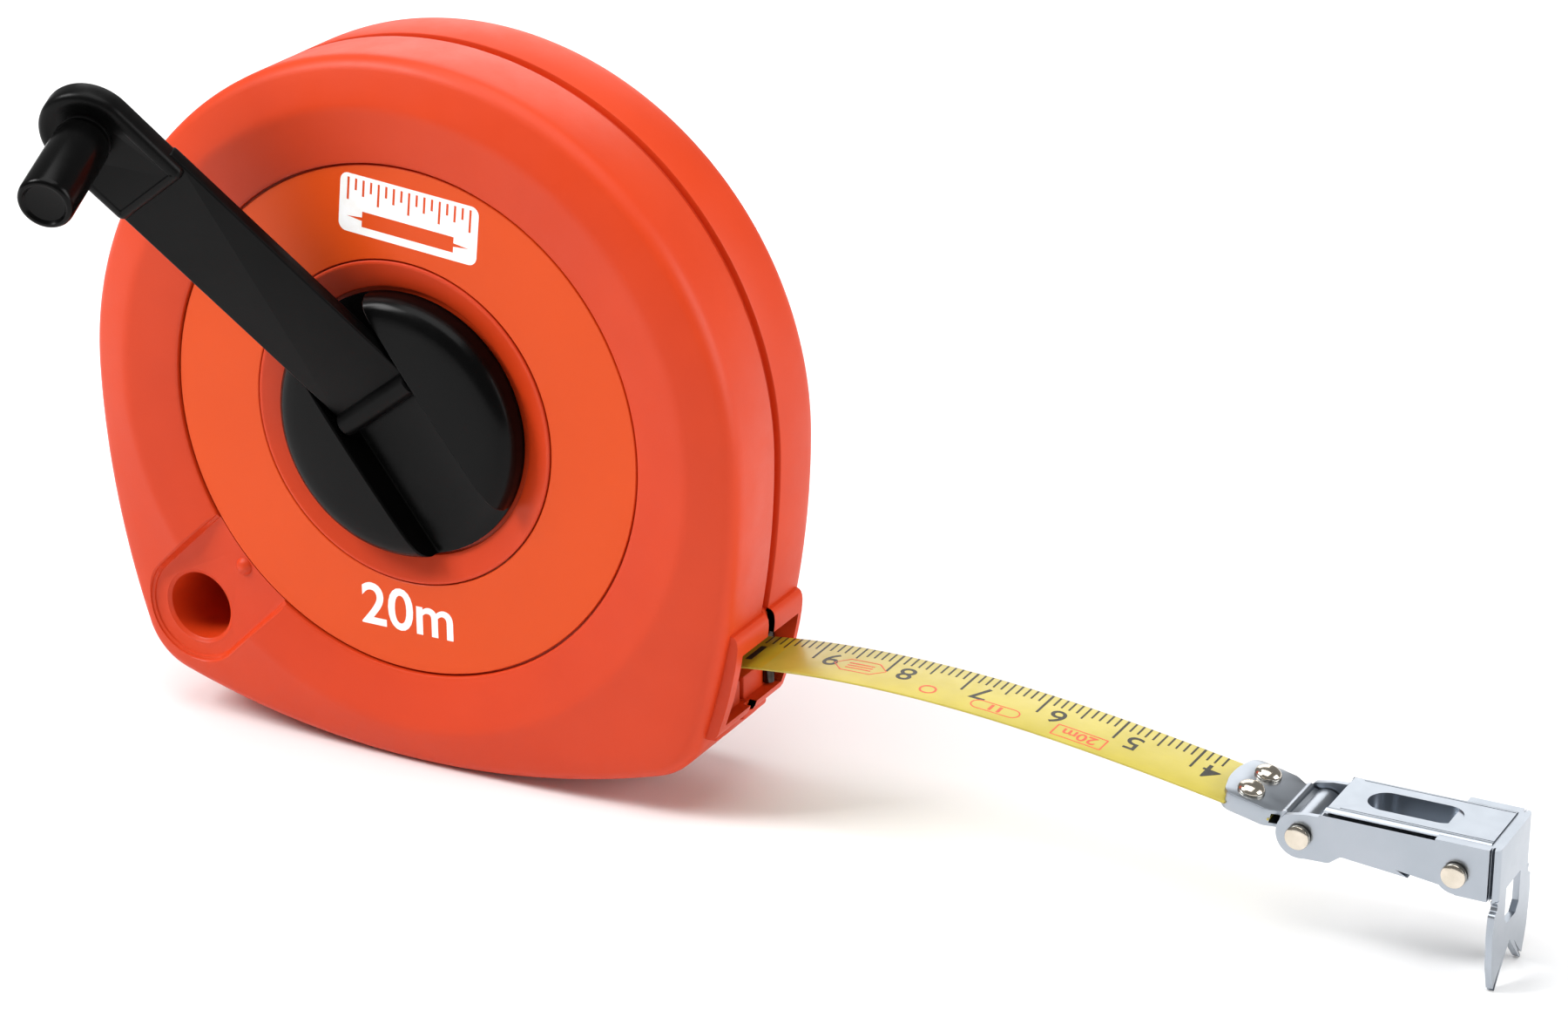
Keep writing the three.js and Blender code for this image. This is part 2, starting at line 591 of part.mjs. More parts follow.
const frameEndX = CLAW_PIN.x + 3.6;
const flangeShape = new THREE.Shape([
  new THREE.Vector2(frameEndX, HOOK_TOP_Z),
  new THREE.Vector2(frameEndX, CLAW_PIN.y),
  ...arc(CLAW_PIN.x, CLAW_PIN.y, 2.6, -10, -90, 5),
  new THREE.Vector2(129.5, -34),
  new THREE.Vector2(128.6, -33.4),
  new THREE.Vector2(121.6, -33.4),
  new THREE.Vector2(120.4, -34.6),
  ...arc(CLIP_PIN.x, CLIP_PIN.y, 2.9, -80, -200, 8),
  new THREE.Vector2(117.6, -29.1),
  new THREE.Vector2(119.4, -28.9),
  new THREE.Vector2(120, HOOK_TOP_Z),
]);
const frameWindow = stadium(125.6, SPLIT_Y, 132.2, SPLIT_Y, 2.4, 6);
const windowCut = new THREE.ExtrudeGeometry(frameWindow, { depth: 6, bevelEnabled: false });
windowCut.translate(0, 0, -31);
const pinHole = (place, radius) => rodY(radius + GAP, SPLIT_Y - 12, SPLIT_Y + 12, place.x, place.y, 20);
const underside = box(
  [110, SPLIT_Y - flangeInner, -40],
  [145, SPLIT_Y + flangeInner, HOOK_TOP_Z - flangeThickness],
);
const overClip = box([110, SPLIT_Y - flangeInner, -40], [119.9, SPLIT_Y + flangeInner, -20]);
const clawPinRadius = 1;
const frameBlank = slabY(flangeShape, SPLIT_Y - flangeOuter, SPLIT_Y + flangeOuter);
add('hook_frame', carve(frameBlank, [], [
  underside, overClip, windowCut, pinHole(CLIP_PIN, clipPinRadius), pinHole(CLAW_PIN, clawPinRadius),
]), zinc);
add('frame_pin', headedPin(CLIP_PIN, clipPinRadius, 1.5, flangeOuter), nickel);

const clawTopZ = HOOK_TOP_Z - 0.2;
const earBottomZ = -34.4;
const clawHalf = [
  [earOuter, clawTopZ], [earOuter, earBottomZ],
  [earOuter - 0.6, earBottomZ - 0.4], [earOuter - 0.5, earBottomZ - 1],
  [earOuter + 0.3, earBottomZ - 1.3], [earOuter + 0.5, -38.5],
  [earOuter + 0.1, -42.5], [earOuter - 0.9, -45.7],
  [earOuter - 1.5, BASE_Z], [earOuter - 2.1, -45.8], [earOuter - 2.8, -44.2], [earOuter - 4, -42.7],
  [0.5, -41.7],
];
const clawOutline = new THREE.Shape([
  ...clawHalf.map(([y, z]) => new THREE.Vector2(y, z)),
  ...clawHalf.slice().reverse().map(([y, z]) => new THREE.Vector2(-y, z)),
]);
const clawWindow = new THREE.Shape([
  [-2.5, -33.9], [2.5, -33.9], [2.5, -37.8], [1.5, -38.9], [-1.5, -38.9], [-2.5, -37.8],
].map(([y, z]) => new THREE.Vector2(y, z)));

/** A shape drawn in Y-Z, extruded along X between two places. */
function slabX(shape, low, high) {
  const geometry = new THREE.ExtrudeGeometry(shape, { depth: high - low, bevelEnabled: false });
  geometry.rotateX(Math.PI / 2);
  geometry.rotateZ(Math.PI / 2);
  return geometry.translate(low, SPLIT_Y, 0);
}

const clawPlate = slabX(clawOutline, CLAW_FACE_X - CLAW_THICKNESS, CLAW_FACE_X);
const earShape = new THREE.Shape([
  new THREE.Vector2(CLAW_FACE_X - 0.2, clawTopZ),
  new THREE.Vector2(CLAW_PIN.x - 2.6, clawTopZ),
  ...arc(CLAW_PIN.x, CLAW_PIN.y, 2.6, 180, 270, 6),
  new THREE.Vector2(CLAW_FACE_X - 0.2, earBottomZ),
]);
const clawEars = slabY(earShape, SPLIT_Y - earOuter, SPLIT_Y + earOuter);
const betweenEars = box(
  [130, SPLIT_Y - flangeOuter - GAP, -50],
  [CLAW_FACE_X - CLAW_THICKNESS, SPLIT_Y + flangeOuter + GAP, -20],
);
const clawCut = slabX(clawWindow, 130, 150);
const clawBore = pinHole(CLAW_PIN, clawPinRadius);
add('end_claw', carve(clawPlate, [clawEars], [betweenEars, clawCut, clawBore]), zinc);
add('claw_pin', headedPin(CLAW_PIN, clawPinRadius, 1.5, earOuter), nickel);

export default group;
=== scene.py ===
"""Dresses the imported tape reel: moulded case, folding crank, printed steel tape and hinged end hook.

The classes hold their sizes in millimetres, in the part's own frame: the origin on the reel axis at the flat
rear face, +X the way the tape leaves the case, -Y the crank side, +Z up. Solid.piece() turns a finished mesh
into a Blender object in metres.
"""
import json
import logging
import math
from dataclasses import dataclass, field
from enum import Enum
from typing import Callable, Iterable, Sequence

import bmesh
import bpy
import numpy as np
from mathutils import Matrix, Vector
from mathutils.bvhtree import BVHTree


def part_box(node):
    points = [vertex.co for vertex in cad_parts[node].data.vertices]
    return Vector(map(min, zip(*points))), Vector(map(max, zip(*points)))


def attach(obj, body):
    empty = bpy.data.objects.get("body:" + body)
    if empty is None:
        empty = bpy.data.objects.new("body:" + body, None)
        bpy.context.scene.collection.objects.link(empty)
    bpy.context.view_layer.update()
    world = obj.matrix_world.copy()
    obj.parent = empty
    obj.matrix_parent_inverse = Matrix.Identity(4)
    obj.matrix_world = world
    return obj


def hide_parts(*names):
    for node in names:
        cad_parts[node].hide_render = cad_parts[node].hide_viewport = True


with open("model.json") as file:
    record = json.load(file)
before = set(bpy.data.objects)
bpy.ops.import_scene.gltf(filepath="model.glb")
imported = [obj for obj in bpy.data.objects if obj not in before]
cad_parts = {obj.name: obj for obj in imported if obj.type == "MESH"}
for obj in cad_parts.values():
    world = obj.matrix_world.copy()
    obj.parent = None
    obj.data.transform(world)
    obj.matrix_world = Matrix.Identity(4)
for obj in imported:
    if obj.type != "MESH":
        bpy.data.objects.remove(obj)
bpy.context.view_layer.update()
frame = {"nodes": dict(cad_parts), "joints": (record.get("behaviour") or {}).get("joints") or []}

LOG = logging.getLogger("tape_reel")
MM = 0.001
FULL_TURN = 2 * math.pi
Point = tuple[float, float]
Corner = tuple[float, float, float]
UPRIGHT = Matrix.Rotation(math.pi / 2, 4, "X")


def linked(name: str, data: bpy.types.ID) -> bpy.types.Object:
    """A new object for some data, linked to the scene."""
    made = bpy.data.objects.new(name, data)
    bpy.context.scene.collection.objects.link(made)
    return made


def picked(geometry: Iterable[object], kind: type) -> list:
    """The items of one kind in the geometry that an operator returns."""
    return [item for item in geometry if isinstance(item, kind)]


def over(x: float, z: float) -> Matrix:
    """The move to a place in the case's face."""
    return Matrix.Translation((x, 0, z))


# ---- Finishes ----

def linear(hex_colour: str) -> tuple[float, float, float, float]:
    """Turns an sRGB hex colour into a linear one.

    Args:
        hex_colour: The colour as "#RRGGBB".

    Returns:
        The linear red, green and blue with an alpha of 1.
    """
    shares = [int(hex_colour[start:start + 2], 16) / 255 for start in (1, 3, 5)]
    red, green, blue = (s / 12.92 if s <= 0.04045 else ((s + 0.055) / 1.055) ** 2.4 for s in shares)
    return red, green, blue, 1.0


def add_node(
    tree: bpy.types.NodeTree, kind: str, inputs: dict | None = None, **settings: object,
) -> bpy.types.Node:
    """Adds a node with its settings, values and links.

    Args:
        tree: The node tree that the node goes into.
        kind: The node's type name.
        inputs: A value, or an output socket to link from, for each input named or numbered.
        **settings: The node's own properties.

    Returns:
        The new node.
    """
    node = tree.nodes.new(kind)
    for name, value in settings.items():
        setattr(node, name, value)
    for socket, value in (inputs or {}).items():
        if isinstance(value, bpy.types.NodeSocket):
            tree.links.new(value, node.inputs[socket])
        else:
            node.inputs[socket].default_value = value
    return node


def per_metre(size_mm: float) -> float:
    """The pattern scale that gives features of a size in millimetres."""
    return 1000 / size_mm


@dataclass(frozen=True)
class Finish:
    """A surface with mottled colour, uneven gloss and a fine relief, all worked out from sizes in millimetres.

    Fields: the name, two sRGB colours that the mottling runs between, the roughness at its smoothest and
    dullest, the sizes of the mottling and the grain, the height of the relief, and the shader's constants.
    """

    name: str
    colour: str
    shade: str
    roughness: tuple[float, float]
    mottle: float = 9.0
    grain: float = 0.3
    relief: float = 0.012
    stretch: tuple[float, float, float] = (1.0, 1.0, 1.0)
    metallic: float = 0.0
    specular: float = 0.5
    coat: float = 0.0
    sheen: float = 0.0

    def colour_socket(self, tree: bpy.types.NodeTree, place: bpy.types.NodeSocket) -> bpy.types.NodeSocket:
        """The mottled colour.

        Args:
            tree: The material's node tree.
            place: The object coordinates.

        Returns:
            The colour output.
        """
        cloud = add_node(
            tree, "ShaderNodeTexNoise", {"Vector": place, "Scale": per_metre(self.mottle), "Detail": 3.0},
        )
        share = add_node(tree, "ShaderNodeMapRange", {0: cloud.outputs[0], 1: 0.35, 2: 0.65})
        mix = add_node(
            tree, "ShaderNodeMix",
            {0: share.outputs[0], 6: linear(self.colour), 7: linear(self.shade)}, data_type="RGBA",
        )
        return mix.outputs[2]

    def height_socket(self, tree: bpy.types.NodeTree, place: bpy.types.NodeSocket) -> bpy.types.NodeSocket:
        """The relief that the surface keeps from its making.

        Args:
            tree: The material's node tree.
            place: The object coordinates.

        Returns:
            The height output, from 0 to 1.
        """
        drawn = add_node(tree, "ShaderNodeMapping", {"Vector": place, "Scale": self.stretch})
        grain = add_node(
            tree, "ShaderNodeTexNoise",
            {"Vector": drawn.outputs[0], "Scale": per_metre(self.grain), "Detail": 2.0},
        )
        return grain.outputs[0]

    def build(self) -> bpy.types.Material:
        """Makes the material.

        Returns:
            The material, ready for a mesh's slot.
        """
        material = bpy.data.materials.new(self.name)
        material.use_nodes = True
        tree = material.node_tree
        tree.nodes.clear()
        place = add_node(tree, "ShaderNodeTexCoord").outputs["Object"]
        height = self.height_socket(tree, place)
        bump = add_node(
            tree, "ShaderNodeBump", {"Height": height, "Strength": 0.6, "Distance": self.relief * MM},
        )
        wear = add_node(
            tree, "ShaderNodeTexNoise",
            {"Vector": place, "Scale": per_metre(self.mottle / 3), "Detail": 4.0, "Roughness": 0.6},
        )
        gloss = add_node(
            tree, "ShaderNodeMapRange",
            {0: wear.outputs[0], 1: 0.3, 2: 0.7, 3: self.roughness[0], 4: self.roughness[1]},
        )
        shader = add_node(tree, "ShaderNodeBsdfPrincipled", {
            "Base Color": self.colour_socket(tree, place), "Roughness": gloss.outputs[0],
            "Normal": bump.outputs[0], "Metallic": self.metallic, "Specular IOR Level": self.specular,
            "Coat Weight": self.coat, "Coat Roughness": 0.12, "Sheen Weight": self.sheen,
        })
        add_node(tree, "ShaderNodeOutputMaterial", {"Surface": shader.outputs[0]})
        return material


@dataclass(frozen=True)
class WoundTape(Finish):
    """Tape seen edge on: its turns make fine dark rings round the reel axis."""

    turn: float = 0.9

    def colour_socket(self, tree: bpy.types.NodeTree, place: bpy.types.NodeSocket) -> bpy.types.NodeSocket:
        """The rings that the turns make.

        Args:
            tree: The material's node tree.
            place: The object coordinates.

        Returns:
            The colour output.
        """
        rings = add_node(
            tree, "ShaderNodeTexWave",
            {"Vector": place, "Scale": per_metre(self.turn) / 20, "Distortion": 0.3},
            wave_type="RINGS", rings_direction="Y",
        )
        mix = add_node(
            tree, "ShaderNodeMix",
            {0: rings.outputs[1], 6: linear(self.colour), 7: linear(self.shade)}, data_type="RGBA",
        )
        return mix.outputs[2]


class Look(Enum):
    """Every finish on the reel, one to each real material, except two whose colour holds painted shade."""

    # ABS moulded in an eroded tool: even orange red with a fine satin grain that softens highlights.
    CASE = Finish(
        "moulded_abs", "#CE3C10", "#C9390F", (0.42, 0.5), mottle=14, grain=0.32, relief=0.014, specular=0.3,
    )
    # Printed polyester disc: flatter and clearer orange than the case, with a smooth satin face.
    LABEL = Finish(
        "printed_polyester", "#D84A0C", "#D5480B", (0.36, 0.42), mottle=20, grain=0.5, relief=0.004,
        specular=0.25,
    )
    # Screen printed white: slightly uneven cover, a little duller than the disc under it.
    WHITE_INK = Finish("white_screen_ink", "#FFFFFF", "#F6F4F0", (0.4, 0.5), mottle=2, grain=0.2, relief=0.004)
    # Glass-filled nylon from a textured tool: deep black, matte with a fine grit.
    ARM = Finish(
        "textured_nylon", "#050505", "#080808", (0.3, 0.38), mottle=6, grain=0.3, relief=0.01, specular=0.1,
    )
    # Polished acetal: black and glossy, with the faint ripple of a moulding.
    HUB = Finish(
        "polished_acetal", "#040404", "#060606", (0.2, 0.27), mottle=8, grain=2.2, relief=0.008, specular=0.11,
    )
    # Natural acetal of the drum inside: milky and satin.
    DRUM = Finish("natural_acetal", "#DAD6CA", "#CFCABC", (0.4, 0.5), mottle=7, grain=0.5, relief=0.01)
    # Steel strip under clear yellow lacquer: warm yellow, a soft gloss and the faint drag of the roller.
    TAPE = Finish(
        "lacquered_steel_tape", "#BBAC40", "#B2A338", (0.3, 0.42), mottle=5, grain=0.35, relief=0.006,
        stretch=(0.3, 1.0, 1.0), coat=0.12,
    )
    # The same lacquer in a darker yellow with more coat, as painted shade on the strip where it runs through the
    # mouth.
    DEEP_YELLOW = Finish(
        "tape_lacquer_painted_mouth_shade", "#C9AC2C", "#C0A226", (0.3, 0.42), mottle=5, grain=0.35, relief=0.006,
        coat=0.3,
    )
    # Black graduation ink: thin enough that its cover is a little uneven.
    BLACK_INK = Finish(
        "black_scale_ink", "#23221A", "#302E22", (0.4, 0.55), mottle=0.8, grain=0.2, relief=0.004,
    )
    # Red scale ink: brick red over yellow lacquer.
    RED_INK = Finish("red_scale_ink", "#D24A28", "#DC5C32", (0.4, 0.55), mottle=0.8, grain=0.2, relief=0.004)
    # Zinc plated strip: cold grey satin, rolled lengthways, so highlights smear along the strip.
    ZINC = Finish(
        "zinc_plated_strip", "#A6ACB4", "#A1A8B0", (0.28, 0.33), mottle=6, grain=0.35, relief=0.003,
        stretch=(0.12, 1.0, 1.0), metallic=1.0,
    )
    # Nickel plated pins and rivets: warm, nearly mirror bright, with small handling marks.
    NICKEL = Finish(
        "nickel_plated_steel", "#D5CCBE", "#C8BFB0", (0.1, 0.2), mottle=1.5, grain=0.5, relief=0.004,
        metallic=1.0,
    )
    # Wear pin in the mouth: glossy steel with a dark brown base colour, painted shade of the mouth's inside.
    OILED_STEEL = Finish(
        "pin_steel_painted_shade", "#4A4340", "#3A3431", (0.18, 0.28), mottle=1.5, grain=0.5, relief=0.004,
        metallic=1.0,
    )
    # Pressed wool felt of the brake washer: dark, soft and fibrous.
    FELT = Finish(
        "pressed_felt", "#4A4A48", "#3A3A38", (0.9, 1.0), mottle=1.2, grain=0.25, relief=0.08, specular=0.2,
        sheen=0.4,
    )
    # The tape's edges wound on the drum.
    COIL = WoundTape("wound_tape_edges", "#B9A93E", "#6E6428", (0.35, 0.5), mottle=5, grain=0.4, relief=0.02)
    # Matt paper of the studio sweep.
    PAPER = Finish(
        "studio_paper", "#F4F4F4", "#F1F1F1", (0.8, 0.9), mottle=60, grain=0.8, relief=0.01, specular=0.2,
    )

    def material(self) -> bpy.types.Material:
        """The finish's material, made once."""
        return bpy.data.materials.get(self.value.name) or self.value.build()


class Slot(Enum):
    """The record's material slots."""

    CASE = "case_abs"
    LABEL = "label_print"
    CRANK = "crank_plastic"
    DRUM = "drum_plastic"
    TAPE = "tape_lacquer"
    PLATED = "plated_steel"
    BRIGHT = "bright_steel"
    FELT = "brake_felt"


# ---- Solids ----

class Join(Enum):
    """How one solid is combined with another."""

    ADD = "UNION"
    CUT = "DIFFERENCE"
    KEEP = "INTERSECT"


class Plane(Enum):
    """The plane that an outline is drawn in; it is extruded along the axis left over."""

    XY = Matrix.Identity(4)
    XZ = Matrix(((1, 0, 0, 0), (0, 0, 1, 0), (0, 1, 0, 0), (0, 0, 0, 1)))
    YZ = Matrix(((0, 0, 1, 0), (1, 0, 0, 0), (0, 1, 0, 0), (0, 0, 0, 1)))


def softened(corners: Sequence[Corner], closed: bool = True, steps: int = 6) -> list[Point]:
    """Rounds the corners of a line.

    Args:
        corners: Each corner's two coordinates and its radius; 0 leaves it sharp.
        closed: Whether the line joins up, so that its first and last corners are rounded too.
        steps: The number of segments in each rounding.

    Returns:
        The points of the rounded line.
    """
    points: list[Point] = []
    count = len(corners)
    for index, (x, y, radius) in enumerate(corners):
        here = Vector((x, y))
        inner = closed or 0 < index < count - 1
        back = Vector(corners[index - 1][:2]) - here
        ahead = Vector(corners[(index + 1) % count][:2]) - here
        if radius <= 0 or not inner:
            points.append((x, y))
            continue
        half = back.angle(ahead) / 2
        reach = min(radius / math.tan(half), 0.49 * back.length, 0.49 * ahead.length)
        start, end = here + back.normalized() * reach, here + ahead.normalized() * reach
        for step in range(steps + 1):
            t = step / steps
            weight = math.sin(half)
            across = 2 * t * (1 - t) * weight
            blend = (1 - t) ** 2 + across + t ** 2
            place = (start * (1 - t) ** 2 + here * across + end * t ** 2) / blend
            points.append((place.x, place.y))
    return points


def arc(x: float, y: float, radius: float, start: float, end: float, steps: int = 24) -> list[Point]:
    """Points along an arc.

    Args:
        x: The centre's first coordinate.
        y: The centre's second coordinate.
        radius: The arc's radius.
        start: The first angle, in degrees.
        end: The last angle, in degrees.
        steps: The number of segments.

    Returns:
        The points, both ends included.
    """
    turns = np.radians(np.linspace(start, end, steps + 1))
    return [(x + radius * math.cos(turn), y + radius * math.sin(turn)) for turn in turns]


def rectangle(half_width: float, half_height: float, radius: float) -> list[Corner]:
    """The corners of a rectangle round the origin, anticlockwise from the lower left."""
    signs = ((-1, -1), (1, -1), (1, 1), (-1, 1))
    return [(x * half_width, y * half_height, radius) for x, y in signs]


def sharp(points: Iterable[Point]) -> list[Corner]:
    """The points as corners that stay sharp."""
    return [(x, y, 0.0) for x, y in points]


class Solid:
    """A closed mesh in millimetres, shaped by bmesh operators."""

    def __init__(self) -> None:
        """Starts with an empty mesh."""
        self.bm = bmesh.new()

    @classmethod
    def block(cls, low: Sequence[float], high: Sequence[float]) -> "Solid":
        """A rectangular block.

        Args:
            low: The lowest corner.
            high: The highest corner.

        Returns:
            The solid.
        """
        made = cls()
        low_corner, high_corner = Vector(low), Vector(high)
        place = Matrix.Translation((low_corner + high_corner) / 2)
        size = Matrix.Diagonal((*(high_corner - low_corner), 1))
        bmesh.ops.create_cube(made.bm, size=1, matrix=place @ size)
        return made

    @classmethod
    def spun(cls, profile: Sequence[Point], steps: int = 64) -> "Solid":
        """A profile turned about the Y axis.

        Args:
            profile: Radius and Y of each point, starting and ending on the axis or on the same point.
            steps: The number of segments round the axis.

        Returns:
            The solid.
        """
        made = cls()
        verts = [made.bm.verts.new((radius, y, 0)) for radius, y in profile]
        edges = [made.bm.edges.new(pair) for pair in zip(verts, verts[1:])]
        bmesh.ops.spin(
            made.bm, geom=verts + edges, cent=(0, 0, 0), axis=(0, 1, 0), dvec=(0, 0, 0), angle=FULL_TURN,
            steps=steps, use_merge=True, use_normal_flip=False, use_duplicate=False,
        )
        return made.tidied()

    @classmethod
    def rod(cls, radius: float, low: float, high: float, steps: int = 32) -> "Solid":
        """A cylinder on the Y axis, between two heights."""
        return cls.spun([(0, low), (radius, low), (radius, high), (0, high)], steps)

    @classmethod
    def extruded(cls, outline: Sequence[Point], low: float, high: float, plane: Plane = Plane.XY) -> "Solid":
        """A flat outline drawn out along an axis.

        Args:
            outline: The outline's points in order.
            low: Where it starts along the axis.
            high: Where it ends along the axis.
            plane: The plane that the outline is drawn in.

        Returns:
            The solid.
        """
        made = cls()
        base = [made.bm.verts.new((x, y, low)) for x, y in outline]
        face = bmesh.ops.contextual_create(made.bm, geom=base)["faces"]
        if not face:
            face = [made.bm.faces.new(base)]
        grown = bmesh.ops.extrude_face_region(made.bm, geom=face)["geom"]
        moved = picked(grown, bmesh.types.BMVert)
        bmesh.ops.translate(made.bm, verts=moved, vec=(0, 0, high - low))
        return made.moved(plane.value)

    def tidied(self) -> "Solid":
        """Merges doubles and turns every face outwards."""
        bmesh.ops.remove_doubles(self.bm, verts=self.bm.verts, dist=1e-4)
        bmesh.ops.dissolve_degenerate(self.bm, dist=1e-5, edges=self.bm.edges)
        bmesh.ops.recalc_face_normals(self.bm, faces=self.bm.faces)
        return self

    def moved(self, matrix: Matrix) -> "Solid":
        """Places the solid and turns its faces outwards again."""
        bmesh.ops.transform(self.bm, matrix=matrix, verts=self.bm.verts)
        bmesh.ops.recalc_face_normals(self.bm, faces=self.bm.faces)
        return self

    def sliced(self, places: Iterable[float]) -> "Solid":
        """Cuts the mesh across X at each place, so that it can bend."""
        for x in places:
            everything = [*self.bm.verts, *self.bm.edges, *self.bm.faces]
            bmesh.ops.bisect_plane(self.bm, geom=everything, plane_co=(x, 0, 0), plane_no=(1, 0, 0))
        return self

    def bevelled(
        self, width: float, segments: int = 2, turn: float = 35.0,
        only: Callable[[bmesh.types.BMEdge], bool] | None = None,
    ) -> "Solid":
        """Rounds its sharp edges.

        Args:
            width: The size of the rounding.
            segments: The number of segments across it.
            turn: The smallest angle between two faces, in degrees, that counts as sharp.
            only: A test that an edge also has to pass.

        Returns:
            The solid.
        """
        limit = math.radians(turn)
        edges = [
            edge for edge in self.bm.edges
            if len(edge.link_faces) == 2 and edge.calc_face_angle(0) > limit and (only is None or only(edge))
        ]
        bmesh.ops.bevel(
            self.bm, geom=edges, offset=width, offset_type="OFFSET", segments=segments, profile=0.5,
            affect="EDGES", clamp_overlap=True, material=-1,
        )
        return self.tidied()

    def combined(self, how: Join, *others: "Solid") -> "Solid":
        """Joins, cuts or intersects with other solids, one after another.

        Args:
            how: The way they combine.
            *others: The other solids, which are used up.

        Returns:
            The solid.
        """
        for other in others:
            pair = []
            for solid in (self, other):
                mesh = bpy.data.meshes.new("work")
                solid.bm.to_mesh(mesh)
                pair.append(linked("work", mesh))
            modifier = pair[0].modifiers.new("combine", "BOOLEAN")
            modifier.solver = "EXACT"
            modifier.operation = how.value
            modifier.object = pair[1]
            graph = bpy.context.evaluated_depsgraph_get()
            result = bpy.data.meshes.new_from_object(pair[0].evaluated_get(graph))
            self.bm.clear()
            self.bm.from_mesh(result)
            bpy.data.meshes.remove(result)
            for holder in pair:
                mesh = holder.data
                bpy.data.objects.remove(holder)
                bpy.data.meshes.remove(mesh)
            other.bm.free()
            bmesh.ops.remove_doubles(self.bm, verts=self.bm.verts, dist=2e-3)
            bmesh.ops.dissolve_degenerate(self.bm, dist=1e-4, edges=self.bm.edges)
        return self

    def absorbed(self, other: "Solid") -> "Solid":
        """Takes in another solid that it doesn't touch, as one more island of the same piece."""
        mesh = bpy.data.meshes.new("work")
        other.bm.to_mesh(mesh)
        other.bm.free()
        self.bm.from_mesh(mesh)
        bpy.data.meshes.remove(mesh)
        return self

    def surface(self) -> Callable[[float, float], float | None]:
        """A look-up of the height of its front face.

        Returns:
            A function from X and Z to the Y of the first surface met from the front, or None beside the
            solid.
        """
        tree = BVHTree.FromBMesh(self.bm)

        def look(x: float, z: float) -> float | None:
            """The Y of the front face at X and Z."""
            place = tree.ray_cast(Vector((x, -200, z)), Vector((0, 1, 0)))[0]
            return place.y if place else None

        return look

    def piece(
        self, name: str, look: Look, slot: Slot, body: str, stands_for: Sequence[str] = (),
        turn: float = 32.0,
    ) -> bpy.types.Object:
        """Makes the solid a finished piece in metres, which uses the solid up.

        Args:
            name: The piece's name.
            look: Its finish.
            slot: The record's slot; it is not used.
            body: The CAD body that it moves with.
            stands_for: The CAD nodes that it replaces.
            turn: The angle between faces, in degrees, above which an edge stays crisp.

        Returns:
            The object.
        """
        bmesh.ops.scale(self.bm, vec=(MM, MM, MM), verts=self.bm.verts)
        mesh = bpy.data.meshes.new(name)
        self.bm.to_mesh(mesh)
        self.bm.free()
        mesh.polygons.foreach_set("use_smooth", [True] * len(mesh.polygons))
        mesh.set_sharp_from_angle(angle=math.radians(turn))
        mesh.materials.append(look.material())
        made = linked(name, mesh)
        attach(made, body)
        if stands_for:
            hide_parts(*stands_for)
        LOG.info("%s: %d faces on %s", name, len(mesh.polygons), body)
        return made


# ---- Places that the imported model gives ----

@dataclass(frozen=True)
class Datums:
    """The places, in millimetres, that the sub-assemblies share."""

    label_y: float
    split_y: float
    base_z: float
    claw_face_x: float
    hinge: Vector
    knob: Vector
    clip_pin: Vector
    claw_pin: Vector

    @classmethod
    def read(cls) -> "Datums":
        """Reads the boxes of the CAD nodes and the joints of the record."""
        joints = {joint["name"]: Vector(joint["pos_m"]) / MM for joint in frame["joints"] if "pos_m" in joint}
        return cls(
            label_y=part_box("front_label")[0].y / MM,
            split_y=joints["claw_swing"].y,
            base_z=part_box("front_shell")[0].z / MM,
            claw_face_x=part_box("end_claw")[1].x / MM,
            hinge=joints["crank_fold"],
            knob=joints["knob_spin"],
            clip_pin=joints["frame_swing"],
            claw_pin=joints["claw_swing"],
        )

    @property
    def crank_turn(self) -> float:
        """The turn about Y that lays the hub's own X along the crank."""
        return -math.atan2(self.hinge.z, self.hinge.x)

    def hub_place(self) -> Matrix:
        """The hub's own frame: X along the crank, on the reel axis."""
        return Matrix.Rotation(self.crank_turn, 4, "Y")

    def arm_place(self) -> Matrix:
        """The arm's own frame: X along the arm from its hinge, -Y its front."""
        reach = self.knob - self.hinge
        lift = math.atan2(-reach.y, math.hypot(reach.x, reach.z))
        return Matrix.Translation(self.hinge) @ self.hub_place() @ Matrix.Rotation(-lift, 4, "Z")


# ---- Case ----

@dataclass(frozen=True)
class Ring:
    """One ring of a moulding: its height along Y, and a circle's radius or the outline's inset.

    share blends from the circle at 0 to the outline at 1.
    """

    y: float
    radius: float = 0.0
    inset: float = 0.0
    share: float = 0.0


